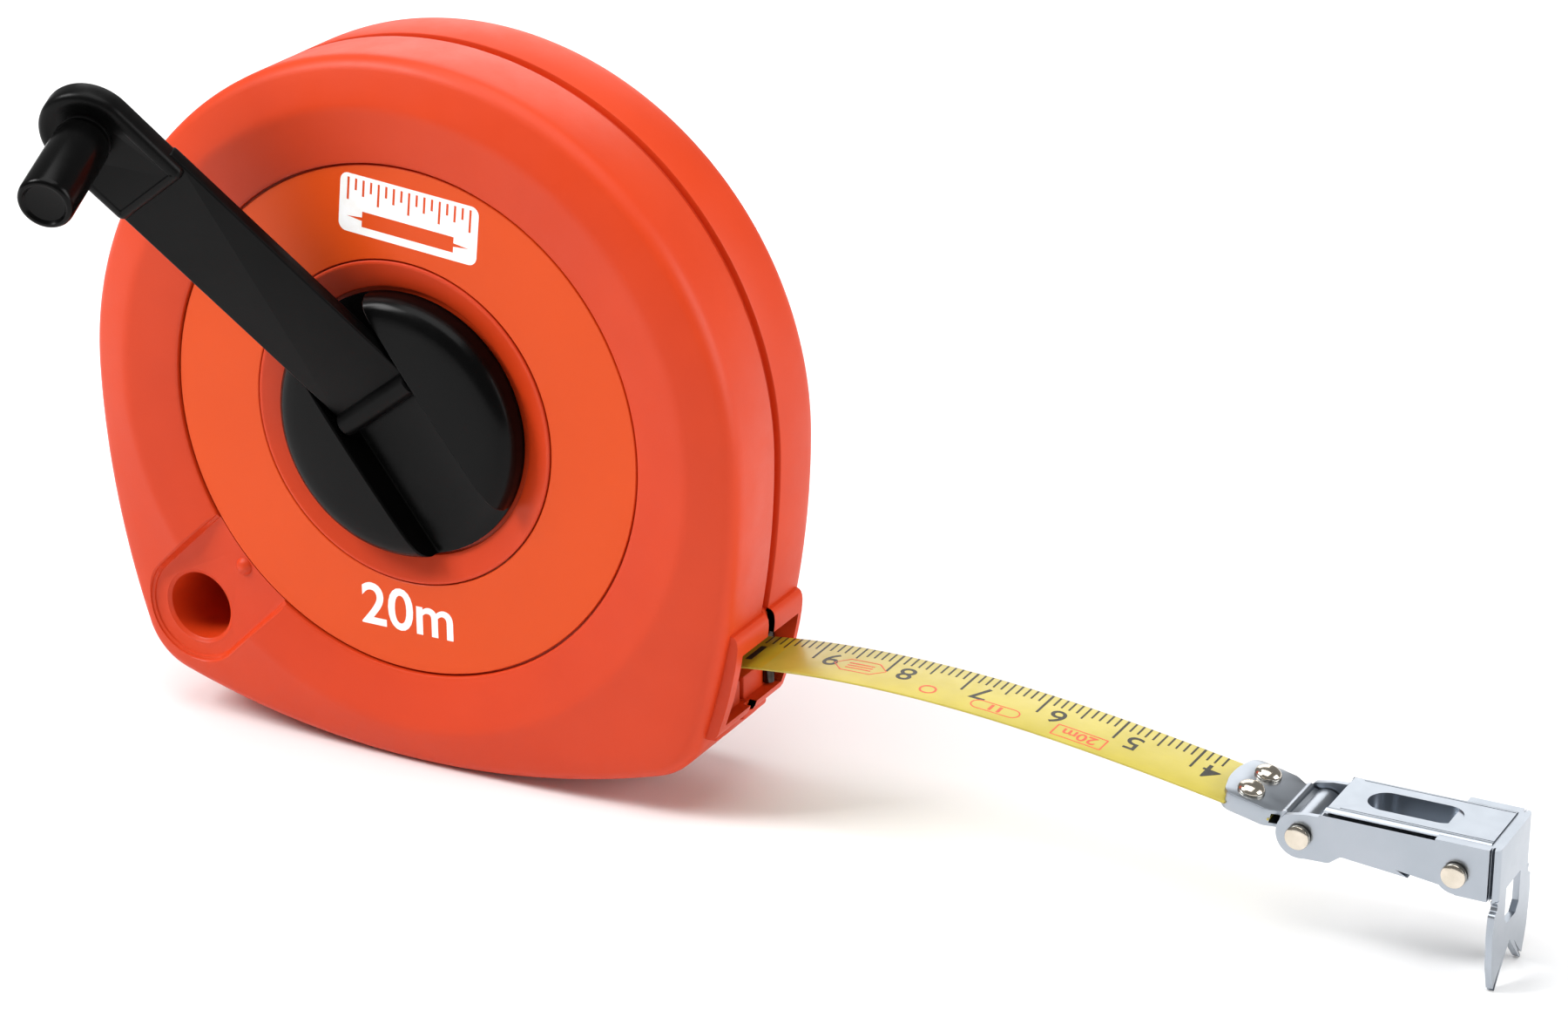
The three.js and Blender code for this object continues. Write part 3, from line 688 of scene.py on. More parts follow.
@dataclass(frozen=True)
class CaseOutline:
    """The case seen from the front: a round top, long side arcs, round corners and a convex base."""

    base_z: float
    top_radius: float = 46.4
    side_radius: float = 113.0
    base_radius: float = 115.0
    corner_radius: float = 8.8
    spokes: int = 400

    def corner_centre(self) -> Vector:
        """The centre of the right-hand corner, which touches the side arc and the base arc."""
        side = Vector((self.top_radius - self.side_radius, 0))
        base = Vector((0, self.base_z + self.base_radius))
        to_side, to_base = self.side_radius - self.corner_radius, self.base_radius - self.corner_radius
        line = base - side
        along = (to_side ** 2 - to_base ** 2 + line.length_squared) / (2 * line.length)
        across = math.sqrt(to_side ** 2 - along ** 2)
        line.normalize()
        return side + line * along + Vector((line.y, -line.x)) * across

    def line(self, inset: float) -> np.ndarray:
        """Closely spaced points of the outline, moved in by an inset."""
        corner = self.corner_centre()
        offset = self.side_radius - self.top_radius
        rise = self.base_z + self.base_radius
        side = math.degrees(math.atan2(-corner.y, corner.x + offset))
        base = math.degrees(math.atan2(corner.x, rise - corner.y))
        side_radius, corner_radius = self.side_radius - inset, self.corner_radius - inset
        return np.array([
            *arc(0, 0, self.top_radius - inset, 0, 180, 720),
            *arc(offset, 0, side_radius, 180, 180 + side, 240)[1:],
            *arc(-corner.x, corner.y, corner_radius, 180 + side, 270 - base, 240)[1:],
            *arc(0, rise, self.base_radius - inset, 270 - base, 270 + base, 400)[1:],
            *arc(corner.x, corner.y, corner_radius, 270 + base, 360 - side, 240)[1:],
            *arc(-offset, 0, side_radius, 360 - side, 360, 240)[1:-1],
        ])

    def spoke_turns(self) -> np.ndarray:
        """The polar angles of the spokes, closer together where the outline bends."""
        points = self.line(0)
        steps = np.roll(points, -1, axis=0) - points
        lengths = np.hypot(*steps.T)
        headings = np.unwrap(np.arctan2(steps[:, 1], steps[:, 0]))
        bends = np.abs(np.diff(headings, append=headings[0] + FULL_TURN))
        weight = np.cumsum(lengths / lengths.sum() + bends / bends.sum())
        turns = np.unwrap(np.arctan2(points[:, 1], points[:, 0]))
        return np.interp(np.arange(self.spokes) * 2 / self.spokes, np.concatenate(([0], weight[:-1])), turns)

    def reach(self, inset: float, turns: np.ndarray) -> np.ndarray:
        """The distance from the axis to the inset outline, at polar angles."""
        points = self.line(inset)
        angles = np.unwrap(np.arctan2(points[:, 1], points[:, 0]))
        return np.interp(turns, angles, np.hypot(*points.T), period=FULL_TURN)

    def lofted(self, rings: Sequence[Ring]) -> Solid:
        """A closed moulding through a loop of rings.

        Args:
            rings: The rings in order; the last joins the first, or both lie on the axis.

        Returns:
            The solid.
        """
        made = Solid()
        spoke = made.bm.verts.layers.int.new("spoke")
        turns = self.spoke_turns()
        verts = bmesh.ops.create_circle(made.bm, cap_ends=False, segments=self.spokes, radius=1)["verts"]
        for index, vert in enumerate(verts):
            vert[spoke] = index
        edges = list(made.bm.edges)
        for number, ring in enumerate((*rings, rings[0])):
            if number:
                grown = bmesh.ops.extrude_edge_only(made.bm, edges=edges)["geom"]
                verts, edges = picked(grown, bmesh.types.BMVert), picked(grown, bmesh.types.BMEdge)
            reach = np.full(self.spokes, ring.radius)
            if ring.share:
                reach = (1 - ring.share) * reach + ring.share * self.reach(ring.inset, turns)
            for vert in verts:
                far, turn = reach[vert[spoke]], turns[vert[spoke]]
                vert.co = (far * math.cos(turn), ring.y, far * math.sin(turn))
        return made.tidied()


def flared_cutter(
    path: Sequence[Point], floor: float, look: Callable[[float, float], float | None],
    lip: float, draft: float, beyond: float,
) -> Solid:
    """A cutter for a recess whose upper edge rolls over smoothly, however the surface round it rises.

    Args:
        path: The recess's outline at its floor, anticlockwise.
        floor: The Y of the floor.
        look: The height of the surface that it cuts into.
        lip: The radius of the rolled edge.
        draft: How far the walls lean outwards.
        beyond: A Y in front of the surface.

    Returns:
        The cutter.
    """
    made = Solid()
    count = len(path)
    ahead = [Vector(path[(i + 1) % count]) - Vector(path[i - 1]) for i in range(count)]
    outward = [Vector((step.y, -step.x)).normalized() for step in ahead]
    marks = made.bm.verts.layers.int.new("mark")
    bottom = made.bm.faces.new([made.bm.verts.new((x, 0, z)) for x, z in path])
    verts, edges = list(bottom.verts), list(bottom.edges)
    for index, vert in enumerate(verts):
        vert[marks] = index
    deepest = floor - lip - 0.4

    def height(index: int, offset: float) -> float:
        """The surface's Y beside a point of the path, never deeper than just above the floor."""
        place = Vector(path[index]) + outward[index] * offset
        found = look(place.x, place.y)
        return deepest if found is None else min(found, deepest)

    fillet = [(-0.3, 0.0), (-0.09, 0.09), (0.0, 0.3)]
    turns = [math.radians(turn) for turn in (0, 20, 40, 58, 74)]
    rolled = [(draft + lip * (1 - math.cos(turn)), lip * (1 - math.sin(turn))) for turn in turns]
    edge = draft + lip
    rings = [[(offset, floor - rise)] * count for offset, rise in fillet]
    rings += [
        [(offset, height(index, offset) + drop) for index in range(count)]
        for offset, drop in (*rolled, (edge, -0.35))
    ]
    rings.append([(edge, beyond)] * count)
    for number, ring in enumerate(rings):
        if number:
            grown = bmesh.ops.extrude_edge_only(made.bm, edges=edges)["geom"]
            verts, edges = picked(grown, bmesh.types.BMVert), picked(grown, bmesh.types.BMEdge)
        for vert in verts:
            index = vert[marks]
            offset, y = ring[index]
            place = Vector(path[index]) + outward[index] * offset
            vert.co = (place.x, y, place.y)
    bmesh.ops.contextual_create(made.bm, geom=edges)
    return made.tidied()


def subdivided(path: Sequence[Point], step: float) -> list[Point]:
    """A closed path with more points where two lie further apart than a step."""
    points = []
    for index, point in enumerate(path):
        points.append(point)
        gap = Vector(path[(index + 1) % len(path)]) - Vector(point)
        pieces = int(gap.length // step)
        points += [tuple(Vector(point) + gap * (part / pieces)) for part in range(1, pieces)]
    return points


@dataclass
class Case:
    """The two moulded halves, the printed disc, the screws and the wear pin in the tape mouth."""

    datums: Datums
    crest_radius: float = 40.4
    wall: float = 2.0
    front_floor: float = 3.0
    groove_width: float = 1.6
    groove_depth: float = 1.0
    split_gap: float = 0.1
    label_radius: float = 33.0
    label_inner: float = 21.2
    label_thickness: float = 0.4
    hub_seat: float = 17.4
    bearing_radius: float = 8.2
    socket: Point = (-32.25, -31.0)
    socket_radius: float = 4.5
    socket_depth: float = 17.0
    channel_half: float = 6.85
    mouth_half: float = 7.3
    mouth_top: float = -23.2
    mouth_bottom: float = -33.0
    frame_front: float = 8.9
    frame_rear: float = 8.2
    detent_reach: float = 34.65
    detent_radius: float = 1.35
    boss_radius: float = 2.6
    bore_radius: float = 1.4
    screws: tuple[Point, ...] = ((-29.4, 29.4), (29.4, 29.4), (-12.0, -40.2), (31.0, -35.5))
    outline: CaseOutline = field(init=False)

    def __post_init__(self) -> None:
        """Makes the outline that both halves share."""
        self.outline = CaseOutline(self.datums.base_z)

    def wall_rings(self, face: float, towards: float) -> list[Ring]:
        """The rings of a half's side, from the full outline over the parting groove to the inner wall.

        Args:
            face: The Y where the side's straight part starts.
            towards: 1 where the groove lies at larger Y, -1 where it lies at smaller Y.

        Returns:
            The rings in order.
        """
        groove = self.datums.split_y - towards * self.groove_width / 2
        parting = self.datums.split_y - towards * self.split_gap / 2
        depth, round_edge = self.groove_depth, 0.22
        steps = [
            (face, 0), (groove - towards * round_edge, 0),
            (groove - towards * round_edge * 0.3, round_edge * 0.3), (groove, round_edge),
            (groove, depth - 0.1), (groove + towards * 0.1, depth), (parting, depth), (parting, self.wall),
        ]
        return [Ring(y=y, inset=inset, share=1) for y, inset in steps]

    def front_blank(self) -> Solid:
        """The front half before its mouth, channel and socket are cut."""
        front, floor = self.datums.label_y, self.datums.label_y + self.front_floor
        edge = self.label_radius + 0.3
        dish = [
            (self.bearing_radius, 3.0), (self.bearing_radius, 1.75), (self.bearing_radius + 0.15, 1.6),
            (self.hub_seat, 1.6), (self.hub_seat, 1.2), (17.5, 1.06), (20.45, -0.07), (20.6, -0.12),
            (20.8, -0.14), (20.92, -0.1), (21.0, 0.0), (21.0, 0.7), (edge, 0.7), (edge, -0.1), (edge + 0.06, -0.22),
            (edge + 0.2, -0.31), (edge + 0.45, -0.38), (36.8, -0.95), (39.6, -1.45), (40.0, -1.51),
            (self.crest_radius, -1.53), (40.8, -1.5), (41.2, -1.42),
        ]
        rings = [Ring(y=front + y, radius=radius) for radius, y in dish]
        for y, share in ((-1.05, 0.34), (-0.62, 0.7)):
            rings.append(Ring(y=front + y, radius=41.2, inset=1.62, share=share))
        for turn in range(14, 91, 11):
            swing = math.radians(turn)
            inset, y = 2.1 * (1 - math.sin(swing)), 2.2 - 2.5 * math.cos(swing)
            rings.append(Ring(y=front + y, inset=inset, share=1))
        rings += self.wall_rings(front + 2.6, 1)
        rings += [Ring(y=floor + 0.5, inset=self.wall, share=1), Ring(y=floor, inset=self.wall + 0.5, share=1)]
        return self.outline.lofted(rings)

    def rear_blank(self) -> Solid:
        """The rear half before its mouth and screw seats are cut."""
        inside = -self.wall
        post_y = self.datums.label_y + 14.5
        post = [(0.0, inside), (4.4, inside), (4.4, post_y), (5.6, post_y), (5.6, inside)]
        rings = [Ring(y=y, radius=radius) for radius, y in post]
        rings.append(Ring(y=inside, inset=self.wall + 0.5, share=1))
        rings.append(Ring(y=inside - 0.5, inset=self.wall, share=1))
        rings += reversed(self.wall_rings(-3.3, -1))
        for turn in range(80, -1, -10):
            swing = math.radians(turn)
            rings.append(Ring(y=-3 + 3 * math.cos(swing), inset=3 * (1 - math.sin(swing)), share=1))
        groove = [(31.4, 0.0), (31.2, -0.1), (31.1, -0.6), (30.1, -0.6), (30.0, -0.1), (29.8, 0.0), (0.0, 0.0)]
        rings += [Ring(y=y, radius=radius) for radius, y in groove]
        return self.outline.lofted(rings)

    def mouth_frame(self, half: float) -> Solid:
        """The front half of the raised frame round the mouth: a bar over it, a sill under it, a post beside it.

        Args:
            half: How far the frame reaches from the parting plane.

        Returns:
            The solid.
        """
        top = [
            (43.9, -20.1), (44.5, -20.12), (45.0, -20.25), (45.3, -20.55), (45.48, -21.0), (45.54, -21.6),
            (45.5, -22.3), (45.4, -23.2),
        ]
        side = [
            (45.4, -23.2), (45.2, -24.5), (44.9, -26.0), (44.5, -27.8), (44.1, -29.5), (43.55, -31.3),
            (43.0, -33.0),
        ]
        sill = [(43.0, -33.0), (42.75, -33.7), (42.4, -34.25), (41.8, -34.6)]
        back = 38.6
        outlines = [
            [(back, self.mouth_top), (back, -20.1), *top],
            [(back, self.mouth_bottom), (back, self.mouth_top), *side],
            [(back, -34.6), (back, self.mouth_bottom), *sill],
        ]
        made = Solid()
        front = self.datums.split_y - half
        known: dict[Point, bmesh.types.BMVert] = {}
        faces = []
        for outline in outlines:
            verts = [known.get(point) or made.bm.verts.new((point[0], front, point[1])) for point in outline]
            known.update(zip(outline, verts))
            faces.append(made.bm.faces.new(verts))

        def grow(region: list[bmesh.types.BMFace], depth: float) -> list[bmesh.types.BMFace]:
            """Draws faces out along Y and returns the new ones at the far end."""
            grown = bmesh.ops.extrude_face_region(made.bm, geom=region)["geom"]
            bmesh.ops.translate(made.bm, verts=picked(grown, bmesh.types.BMVert), vec=(0, depth, 0))
            return picked(grown, bmesh.types.BMFace)

        post = half - self.mouth_half
        ends = grow(faces, post)
        ends = [face for face in ends if not self.mouth_bottom < face.calc_center_median().z < self.mouth_top]
        groove = self.datums.split_y - self.groove_width / 2
        ends = grow(ends, groove - (front + post))
        inner = grow(ends, 0)
        lowered = {vert for face in inner for vert in face.verts if vert.co.x > 41}
        bmesh.ops.translate(made.bm, verts=list(lowered), vec=(-self.groove_depth, 0, 0))
        grow(inner, (self.groove_width - self.split_gap) / 2)
        return made.tidied()

    def guides(self, towards: float) -> Solid:
        """The ribs that steer the tape, just inside the mouth, for one half."""
        split = self.datums.split_y
        near, far = sorted((split - towards * 0.4, split - towards * 6.6))
        return Solid.block((37.4, near, -36.0), (41.4, far, -29.9)).bevelled(0.4)

    def on_screws(self, profile: Sequence[Point], steps: int = 32) -> Solid:
        """A profile turned about each screw's axis, as one solid."""
        made = Solid()
        for x, z in self.screws:
            made.absorbed(Solid.spun(profile, steps).moved(over(x, z)))
        return made

    def screw_posts(self, shell: Solid, post: Point, bore: Point) -> None:
        """Adds a post for each screw to a half, then bores it.

        Args:
            shell: The half.
            post: Where the posts start and end along Y.
            bore: Where the bores start and end along Y.
        """
        for how, radius, (low, high) in ((Join.ADD, self.boss_radius, post), (Join.CUT, self.bore_radius, bore)):
            shell.combined(how, self.on_screws([(0, low), (radius, low), (radius, high), (0, high)]))

    def front_shell(self) -> bpy.types.Object:
        """Builds the front half with the parking channel, socket, detent and mouth."""
        front, split = self.datums.label_y, self.datums.split_y
        shell = self.front_blank()
        look = shell.surface()
        shell.combined(Join.CUT, Solid.block(
            (36, split - self.mouth_half - 0.1, self.mouth_bottom - 0.1), (50, split + 9, self.mouth_top + 0.1),
        ))
        shell.combined(Join.ADD, self.mouth_frame(self.frame_front), self.guides(1))
        centre = Vector(self.socket)
        outwards = centre.normalized()
        heading = math.degrees(math.atan2(centre.y, centre.x))
        path = subdivided([
            *arc(*centre, self.channel_half, heading - 90, heading + 90, 40),
            *arc(*(outwards * 30), self.channel_half, heading + 90, heading + 270, 40),
        ], 0.8)
        shell.combined(Join.CUT, flared_cutter(path, front + 0.3, look, 0.42, 0.35, front - 4))
        socket = over(*centre)
        radius, end = self.socket_radius, front + self.socket_depth
        shell.combined(Join.ADD, Solid.rod(radius + 1, front + 2, end + 1.2, 48).moved(socket))
        bulge, base = self.detent_radius, front + 1.6
        swings = [math.radians(turn) for turn in range(81, -1, -9)]
        dome = [(bulge * math.cos(swing), front + 0.95 - bulge * math.sin(swing)) for swing in swings]
        detent = Solid.spun([(0, front - 0.4), *dome, (bulge, base), (0, base)], 32)
        shell.combined(Join.ADD, detent.moved(over(*(outwards * self.detent_reach))))
        self.screw_posts(shell, (front + 2.5, split - 0.3), (front + 4.5, split + 1))
        rolled = [
            (radius + 1.2, front - 3), (radius + 0.62, front + 0.24), (radius + 0.5, front + 0.36),
            (radius + 0.25, front + 0.46), (radius + 0.06, front + 0.62), (radius, front + 0.85),
        ]
        well = Solid.spun([(0, front - 3), *rolled, (radius, end), (0, end)], 72)
        shell.combined(Join.CUT, well.moved(socket))
        return shell.piece("front_half", Look.CASE, Slot.CASE, "case", ["front_shell"], turn=28)

    def rear_shell(self) -> bpy.types.Object:
        """Builds the rear half with the mouth, the screw posts and the screw seats."""
        split = self.datums.split_y
        shell = self.rear_blank()
        shell.combined(Join.CUT, Solid.block(
            (36, split - 9, self.mouth_bottom - 0.1), (50, split + self.mouth_half + 0.1, self.mouth_top + 0.1),
        ))
        mirror = Matrix.Translation((0, 2 * split, 0)) @ Matrix.Scale(-1, 4, (0, 1, 0))
        shell.combined(Join.ADD, self.mouth_frame(self.frame_rear).moved(mirror), self.guides(-1))
        self.screw_posts(shell, (split + 0.3, -1), (split - 1, 1))
        seat = [(0, -2.2), (2.5, -2.2), (2.5, -0.3), (2.6, -0.12), (2.85, 0.1), (2.85, 1), (0, 1)]
        shell.combined(Join.CUT, self.on_screws(seat, 40))
        return shell.piece("rear_half", Look.CASE, Slot.CASE, "case", ["rear_shell"], turn=28)

    def printed_disc(self) -> bpy.types.Object:
        """The printed disc glued into the dish."""
        front, back = self.datums.label_y, self.datums.label_y + self.label_thickness
        inner, outer = self.label_inner, self.label_radius
        profile = [
            (inner, back), (inner, front + 0.1), (inner + 0.1, front), (outer - 0.1, front), (outer, front + 0.1),
            (outer, back), (inner, back),
        ]
        return Solid.spun(profile, 160).piece("printed_disc", Look.LABEL, Slot.LABEL, "case", ["front_label"])

    def disc_print(self) -> None:
        """The length printed in figures, and a plain panel with a scale and a double arrow."""
        face = Matrix.Translation((0, self.datums.label_y, 0))
        ink = 0.012
        figures = lettering("20m", 5.75, 0.12, ink).moved(face @ over(-0.3, -25.1) @ UPRIGHT)
        figures.piece("length_figures", Look.WHITE_INK, Slot.LABEL, "case")
        place = face @ over(1.9, 26.9) @ UPRIGHT @ Matrix.Rotation(math.radians(-5.5), 4, "Z")
        width, height = 9.8, 3.75
        panel = Solid.extruded(softened(rectangle(width, height, 1.1)), -ink, ink)
        for index in range(17):
            x = (index - 8) * 1.08
            drop = (2.9, 1.5, 2.1, 1.5)[index % 4]
            panel.combined(Join.CUT, Solid.block((x - 0.16, height - 0.5 - drop, -1), (x + 0.16, height - 0.5, 1)))
        arrow = [
            (-8.7, -1.75), (-6.5, -2.75), (-6.5, -1.98), (6.5, -1.98), (6.5, -2.75), (8.7, -1.75),
            (6.5, -0.75), (6.5, -1.52), (-6.5, -1.52), (-6.5, -0.75),
        ]
        panel.combined(Join.CUT, Solid.extruded(arrow, -1, 1))
        panel.moved(place).piece("scale_panel", Look.WHITE_INK, Slot.LABEL, "case")

    def fasteners(self) -> None:
        """The screws seen in the rear face, and the pin that keeps the tape off the plastic."""
        tip = self.datums.label_y + 6
        for number, (x, z) in enumerate(self.screws, 1):
            screw = Solid.spun([
                (0, tip), (0.55, tip), (1.1, tip + 1.2), (1.1, -1.9), (2.1, -1.9), (2.2, -1.8), (2.2, -1.0),
                (2.0, -0.72), (1.5, -0.5), (0.9, -0.42), (0, -0.4),
            ], 40)
            for turn in (0, math.pi / 2):
                slot = Solid.block((-1.4, -1.15, -0.28), (1.4, 1, 0.28))
                screw.combined(Join.CUT, slot.moved(Matrix.Rotation(turn + 0.4 * number, 4, "Y")))
            screw.moved(over(x, z))
            screw.piece(f"cross_screw_{number}", Look.ZINC, Slot.PLATED, "case", [f"case_screw_{number}"])
        low, high = self.mouth_bottom + 0.3, self.mouth_top - 0.3
        pin = Solid.spun(
            [(0, low), (0.7, low), (0.8, low + 0.1), (0.8, high - 0.1), (0.7, high), (0, high)], 40,
        )
        pin.moved(Matrix.Translation((41.8, self.datums.split_y + 6.1, 0)) @ UPRIGHT)
        # The pin's dark colour is painted shade of the inside of the mouth.
        pin.piece("wear_pin", Look.OILED_STEEL, Slot.BRIGHT, "case", ["mouth_wear_pin"])

    def build(self) -> None:
        """Builds every piece of the case."""
        self.front_shell()
        self.rear_shell()
        self.printed_disc()
        self.disc_print()
        self.fasteners()


def lettering(text: str, height: float, weight: float, ink: float) -> Solid:
    """Plain figures or letters as a thin print, centred on the origin and facing +Z.

    Args:
        text: What it says.
        height: The height of the first character.
        weight: How much the strokes are thickened.
        ink: Half the thickness of the print.

    Returns:
        The solid.
    """
    curve = bpy.data.curves.new("print", "FONT")
    curve.body, curve.size, curve.extrude, curve.offset = text, height / 0.7, ink, weight
    curve.resolution_u = 5
    holder = linked("print", curve)
    graph = bpy.context.evaluated_depsgraph_get()
    mesh = bpy.data.meshes.new_from_object(holder.evaluated_get(graph))
    made = Solid()
    made.bm.from_mesh(mesh)
    bpy.data.objects.remove(holder)
    bpy.data.curves.remove(curve)
    bpy.data.meshes.remove(mesh)
    made.tidied()
    spots = np.array([vert.co for vert in made.bm.verts])
    low, high = spots.min(0), spots.max(0)
    scale = height / (high[1] - low[1])
    middle = (low + high) / 2
    matrix = Matrix.Diagonal((scale, scale, 1, 1)) @ Matrix.Translation((-middle[0], -middle[1], 0))
    return made.moved(matrix)


# ---- Reel and crank ----

@dataclass
class Crank:
    """The glossy hub on the front of the case, the folding arm, and the knob on its stem."""

    datums: Datums
    hub_radius: float = 17.0
    boss_radius: float = 7.8
    channel_half: float = 6.65
    channel_drop: float = 0.45
    barrel_radius: float = 1.6
    arm_half: float = 6.2
    arm_front: float = -0.1
    arm_rear: float = 1.8
    pad_start: float = 37.5
    pad_half: float = 6.1
    pad_front: float = -1.3
    pad_rear: float = 1.7
    collar_rise: float = 0.3
    stem_radius: float = 1.3
    knob_radius: float = 3.5
    knob_length: float = 13.1

    @property
    def reach(self) -> float:
        """The distance from the hinge to the knob's axis."""
        return (self.datums.knob - self.datums.hinge).length

    def hub(self) -> bpy.types.Object:
        """Builds the domed hub, its channel for the arm, its boss and its square driving peg."""
        front, radius = self.datums.label_y, self.hub_radius
        dome = [(x, front - rise) for x, rise in (
            (radius, 0.9), (16.93, 1.3), (16.76, 1.7), (16.48, 2.2), (16.05, 2.66), (15.5, 2.98),
            (14.8, 3.18), (13.6, 3.33), (11.0, 3.46), (8.0, 3.57), (4.0, 3.66), (0.0, 3.7))]
        profile = [(0, front + 1.3), (radius - 0.4, front + 1.3), (radius, front + 0.9), *dome]
        hub = Solid.spun(profile, 144)
        look = hub.surface()
        half = self.channel_half
        rows = np.linspace(-19, 19, 64)
        path = [*((x, -half) for x in rows), *((x, half) for x in rows[::-1])]
        floor = front + self.channel_drop
        hub.combined(Join.CUT, flared_cutter(path, floor, look, 0.3, 0.03, front - 9))
        peg, boss = 3.8, self.boss_radius
        hub.combined(
            Join.ADD, Solid.rod(boss, front + 0.8, front + 4.3, 64),
            Solid.block((-peg, front + 0.8, -peg), (peg, front + 9, peg)),
        )
        along = self.datums.hub_place().inverted() @ self.datums.hinge
        bore = Solid.rod(1.05, -10.3, 10.3).moved(Matrix.Translation(along) @ UPRIGHT)
        hub.combined(Join.CUT, bore, Solid.rod(1.9, front + 3, front + 10))
        hub.moved(self.datums.hub_place())
        return hub.piece("domed_hub", Look.HUB, Slot.CRANK, "reel", ["crank_hub"], turn=28)

    def arm(self) -> bpy.types.Object:
        """Builds the arm: hinge barrel, flat bar, thicker rounded pad with a dish, and knob collar."""
        half, roll, reach = self.arm_half, self.barrel_radius, self.reach
        bar = Solid.block((0, self.arm_front, -half), (self.pad_start + 3, self.arm_rear, half))
        bar.bevelled(0.3, segments=3)
        barrel = Solid.spun([
            (0, -half), (roll - 0.25, -half), (roll, -half + 0.25), (roll, half - 0.25), (roll - 0.25, half),
            (0, half),
        ], 48).moved(UPRIGHT)
        wide = self.pad_half
        outline = softened([
            (self.pad_start, wide - 0.1, 1.0), *sharp(arc(reach, 0, wide, 90, -90, 40)),
            (self.pad_start, -wide + 0.1, 1.0),
        ])
        pad = Solid.extruded(outline, self.pad_front, self.pad_rear, Plane.XZ)
        front = self.pad_front + 1e-3
        pad.bevelled(0.95, segments=5, turn=50, only=lambda edge: max(vert.co.y for vert in edge.verts) < front)
        face = min(pad.bm.faces, key=lambda item: item.calc_center_median().y)
        bmesh.ops.inset_region(pad.bm, faces=[face], thickness=0.35, depth=0)
        bmesh.ops.inset_region(pad.bm, faces=[face], thickness=0.25, depth=-0.14)
        rear = self.pad_rear - 1e-3
        pad.bevelled(0.35, segments=2, turn=50, only=lambda edge: min(vert.co.y for vert in edge.verts) > rear)
        place = Matrix.Translation((reach, 0, 0))
        top, rim = self.pad_front - self.collar_rise, self.knob_radius - 0.2
        collar = Solid.spun([
            (0, top), (rim - 0.15, top), (rim - 0.04, top + 0.04), (rim, top + 0.15),
            (rim, self.pad_front + 1), (0, self.pad_front + 1),
        ], 64).moved(place)
        bar.combined(Join.ADD, barrel, pad, collar)
        stem, seat = self.stem_radius + 0.3, 2.9
        bar.combined(
            Join.CUT, Solid.rod(stem, -10, 4, 40).moved(place),
            Solid.rod(seat, self.pad_rear - 1.1, 4, 48).moved(place), Solid.rod(1.1, -20, 20).moved(UPRIGHT),
        )
        bar.moved(self.datums.arm_place())
        return bar.piece("folding_arm", Look.ARM, Slot.CRANK, "crank", ["crank_arm"])

    def knob(self) -> None:
        """Builds the free-turning knob and the steel stem riveted through the arm."""
        radius, base = self.knob_radius, self.pad_front - self.collar_rise - 0.3
        tip = base - self.knob_length
        bore = self.stem_radius + 0.4
        profile = [
            (0, tip + 0.45), (2.2, tip + 0.45), (2.45, tip + 0.4), (2.62, tip + 0.22), (2.75, tip + 0.05),
            (2.9, tip), (3.05, tip + 0.02), (3.28, tip + 0.16), (3.43, tip + 0.42), (radius, tip + 0.8),
            (radius, base - 5.0), (radius - 0.03, base - 0.7), (radius - 0.15, base - 0.3),
            (radius - 0.45, base - 0.06), (radius - 0.7, base), (bore, base), (bore, tip + 2), (0, tip + 2),
        ]
        place = self.datums.arm_place() @ Matrix.Translation((self.reach, 0, 0))
        knob = Solid.spun(profile, 96).moved(place)
        knob.piece("turned_knob", Look.HUB, Slot.CRANK, "knob", ["crank_knob"])
        stem, rear = self.stem_radius, self.pad_rear
        profile = [
            (0, tip + 2.6), (stem - 0.3, tip + 2.6), (stem, tip + 3), (stem, rear - 0.8), (2.5, rear - 0.8),
            (2.6, rear - 0.7), (2.58, rear - 0.4), (2.4, rear - 0.15), (2.0, rear - 0.03), (1.2, rear),
            (0.5, rear - 0.1), (0, rear - 0.15),
        ]
        Solid.spun(profile, 56).moved(place).piece("knob_rivet", Look.ZINC, Slot.PLATED, "crank", ["knob_stem"])

    def dress_frame(self) -> None:
        """Gives the CAD nodes that stay their finishes."""
        looks = {
            "reel_core": Look.DRUM, "front_flange": Look.DRUM, "rear_flange": Look.DRUM,
            "tape_coil": Look.COIL, "brake_washer": Look.FELT, "spindle_washer": Look.ZINC,
            "spindle_screw": Look.ZINC, "crank_hinge_pin": Look.NICKEL,
        }
        for name, look in looks.items():
            mesh = frame["nodes"][name].data
            mesh.materials.clear()
            mesh.materials.append(look.material())
            LOG.info("%s: dressed in %s", name, look.value.name)

    def build(self) -> None:
        """Builds the hub, the arm and the knob, and dresses the reel inside."""
        self.hub()
        self.arm()
        self.knob()
        self.dress_frame()


# ---- Tape ----

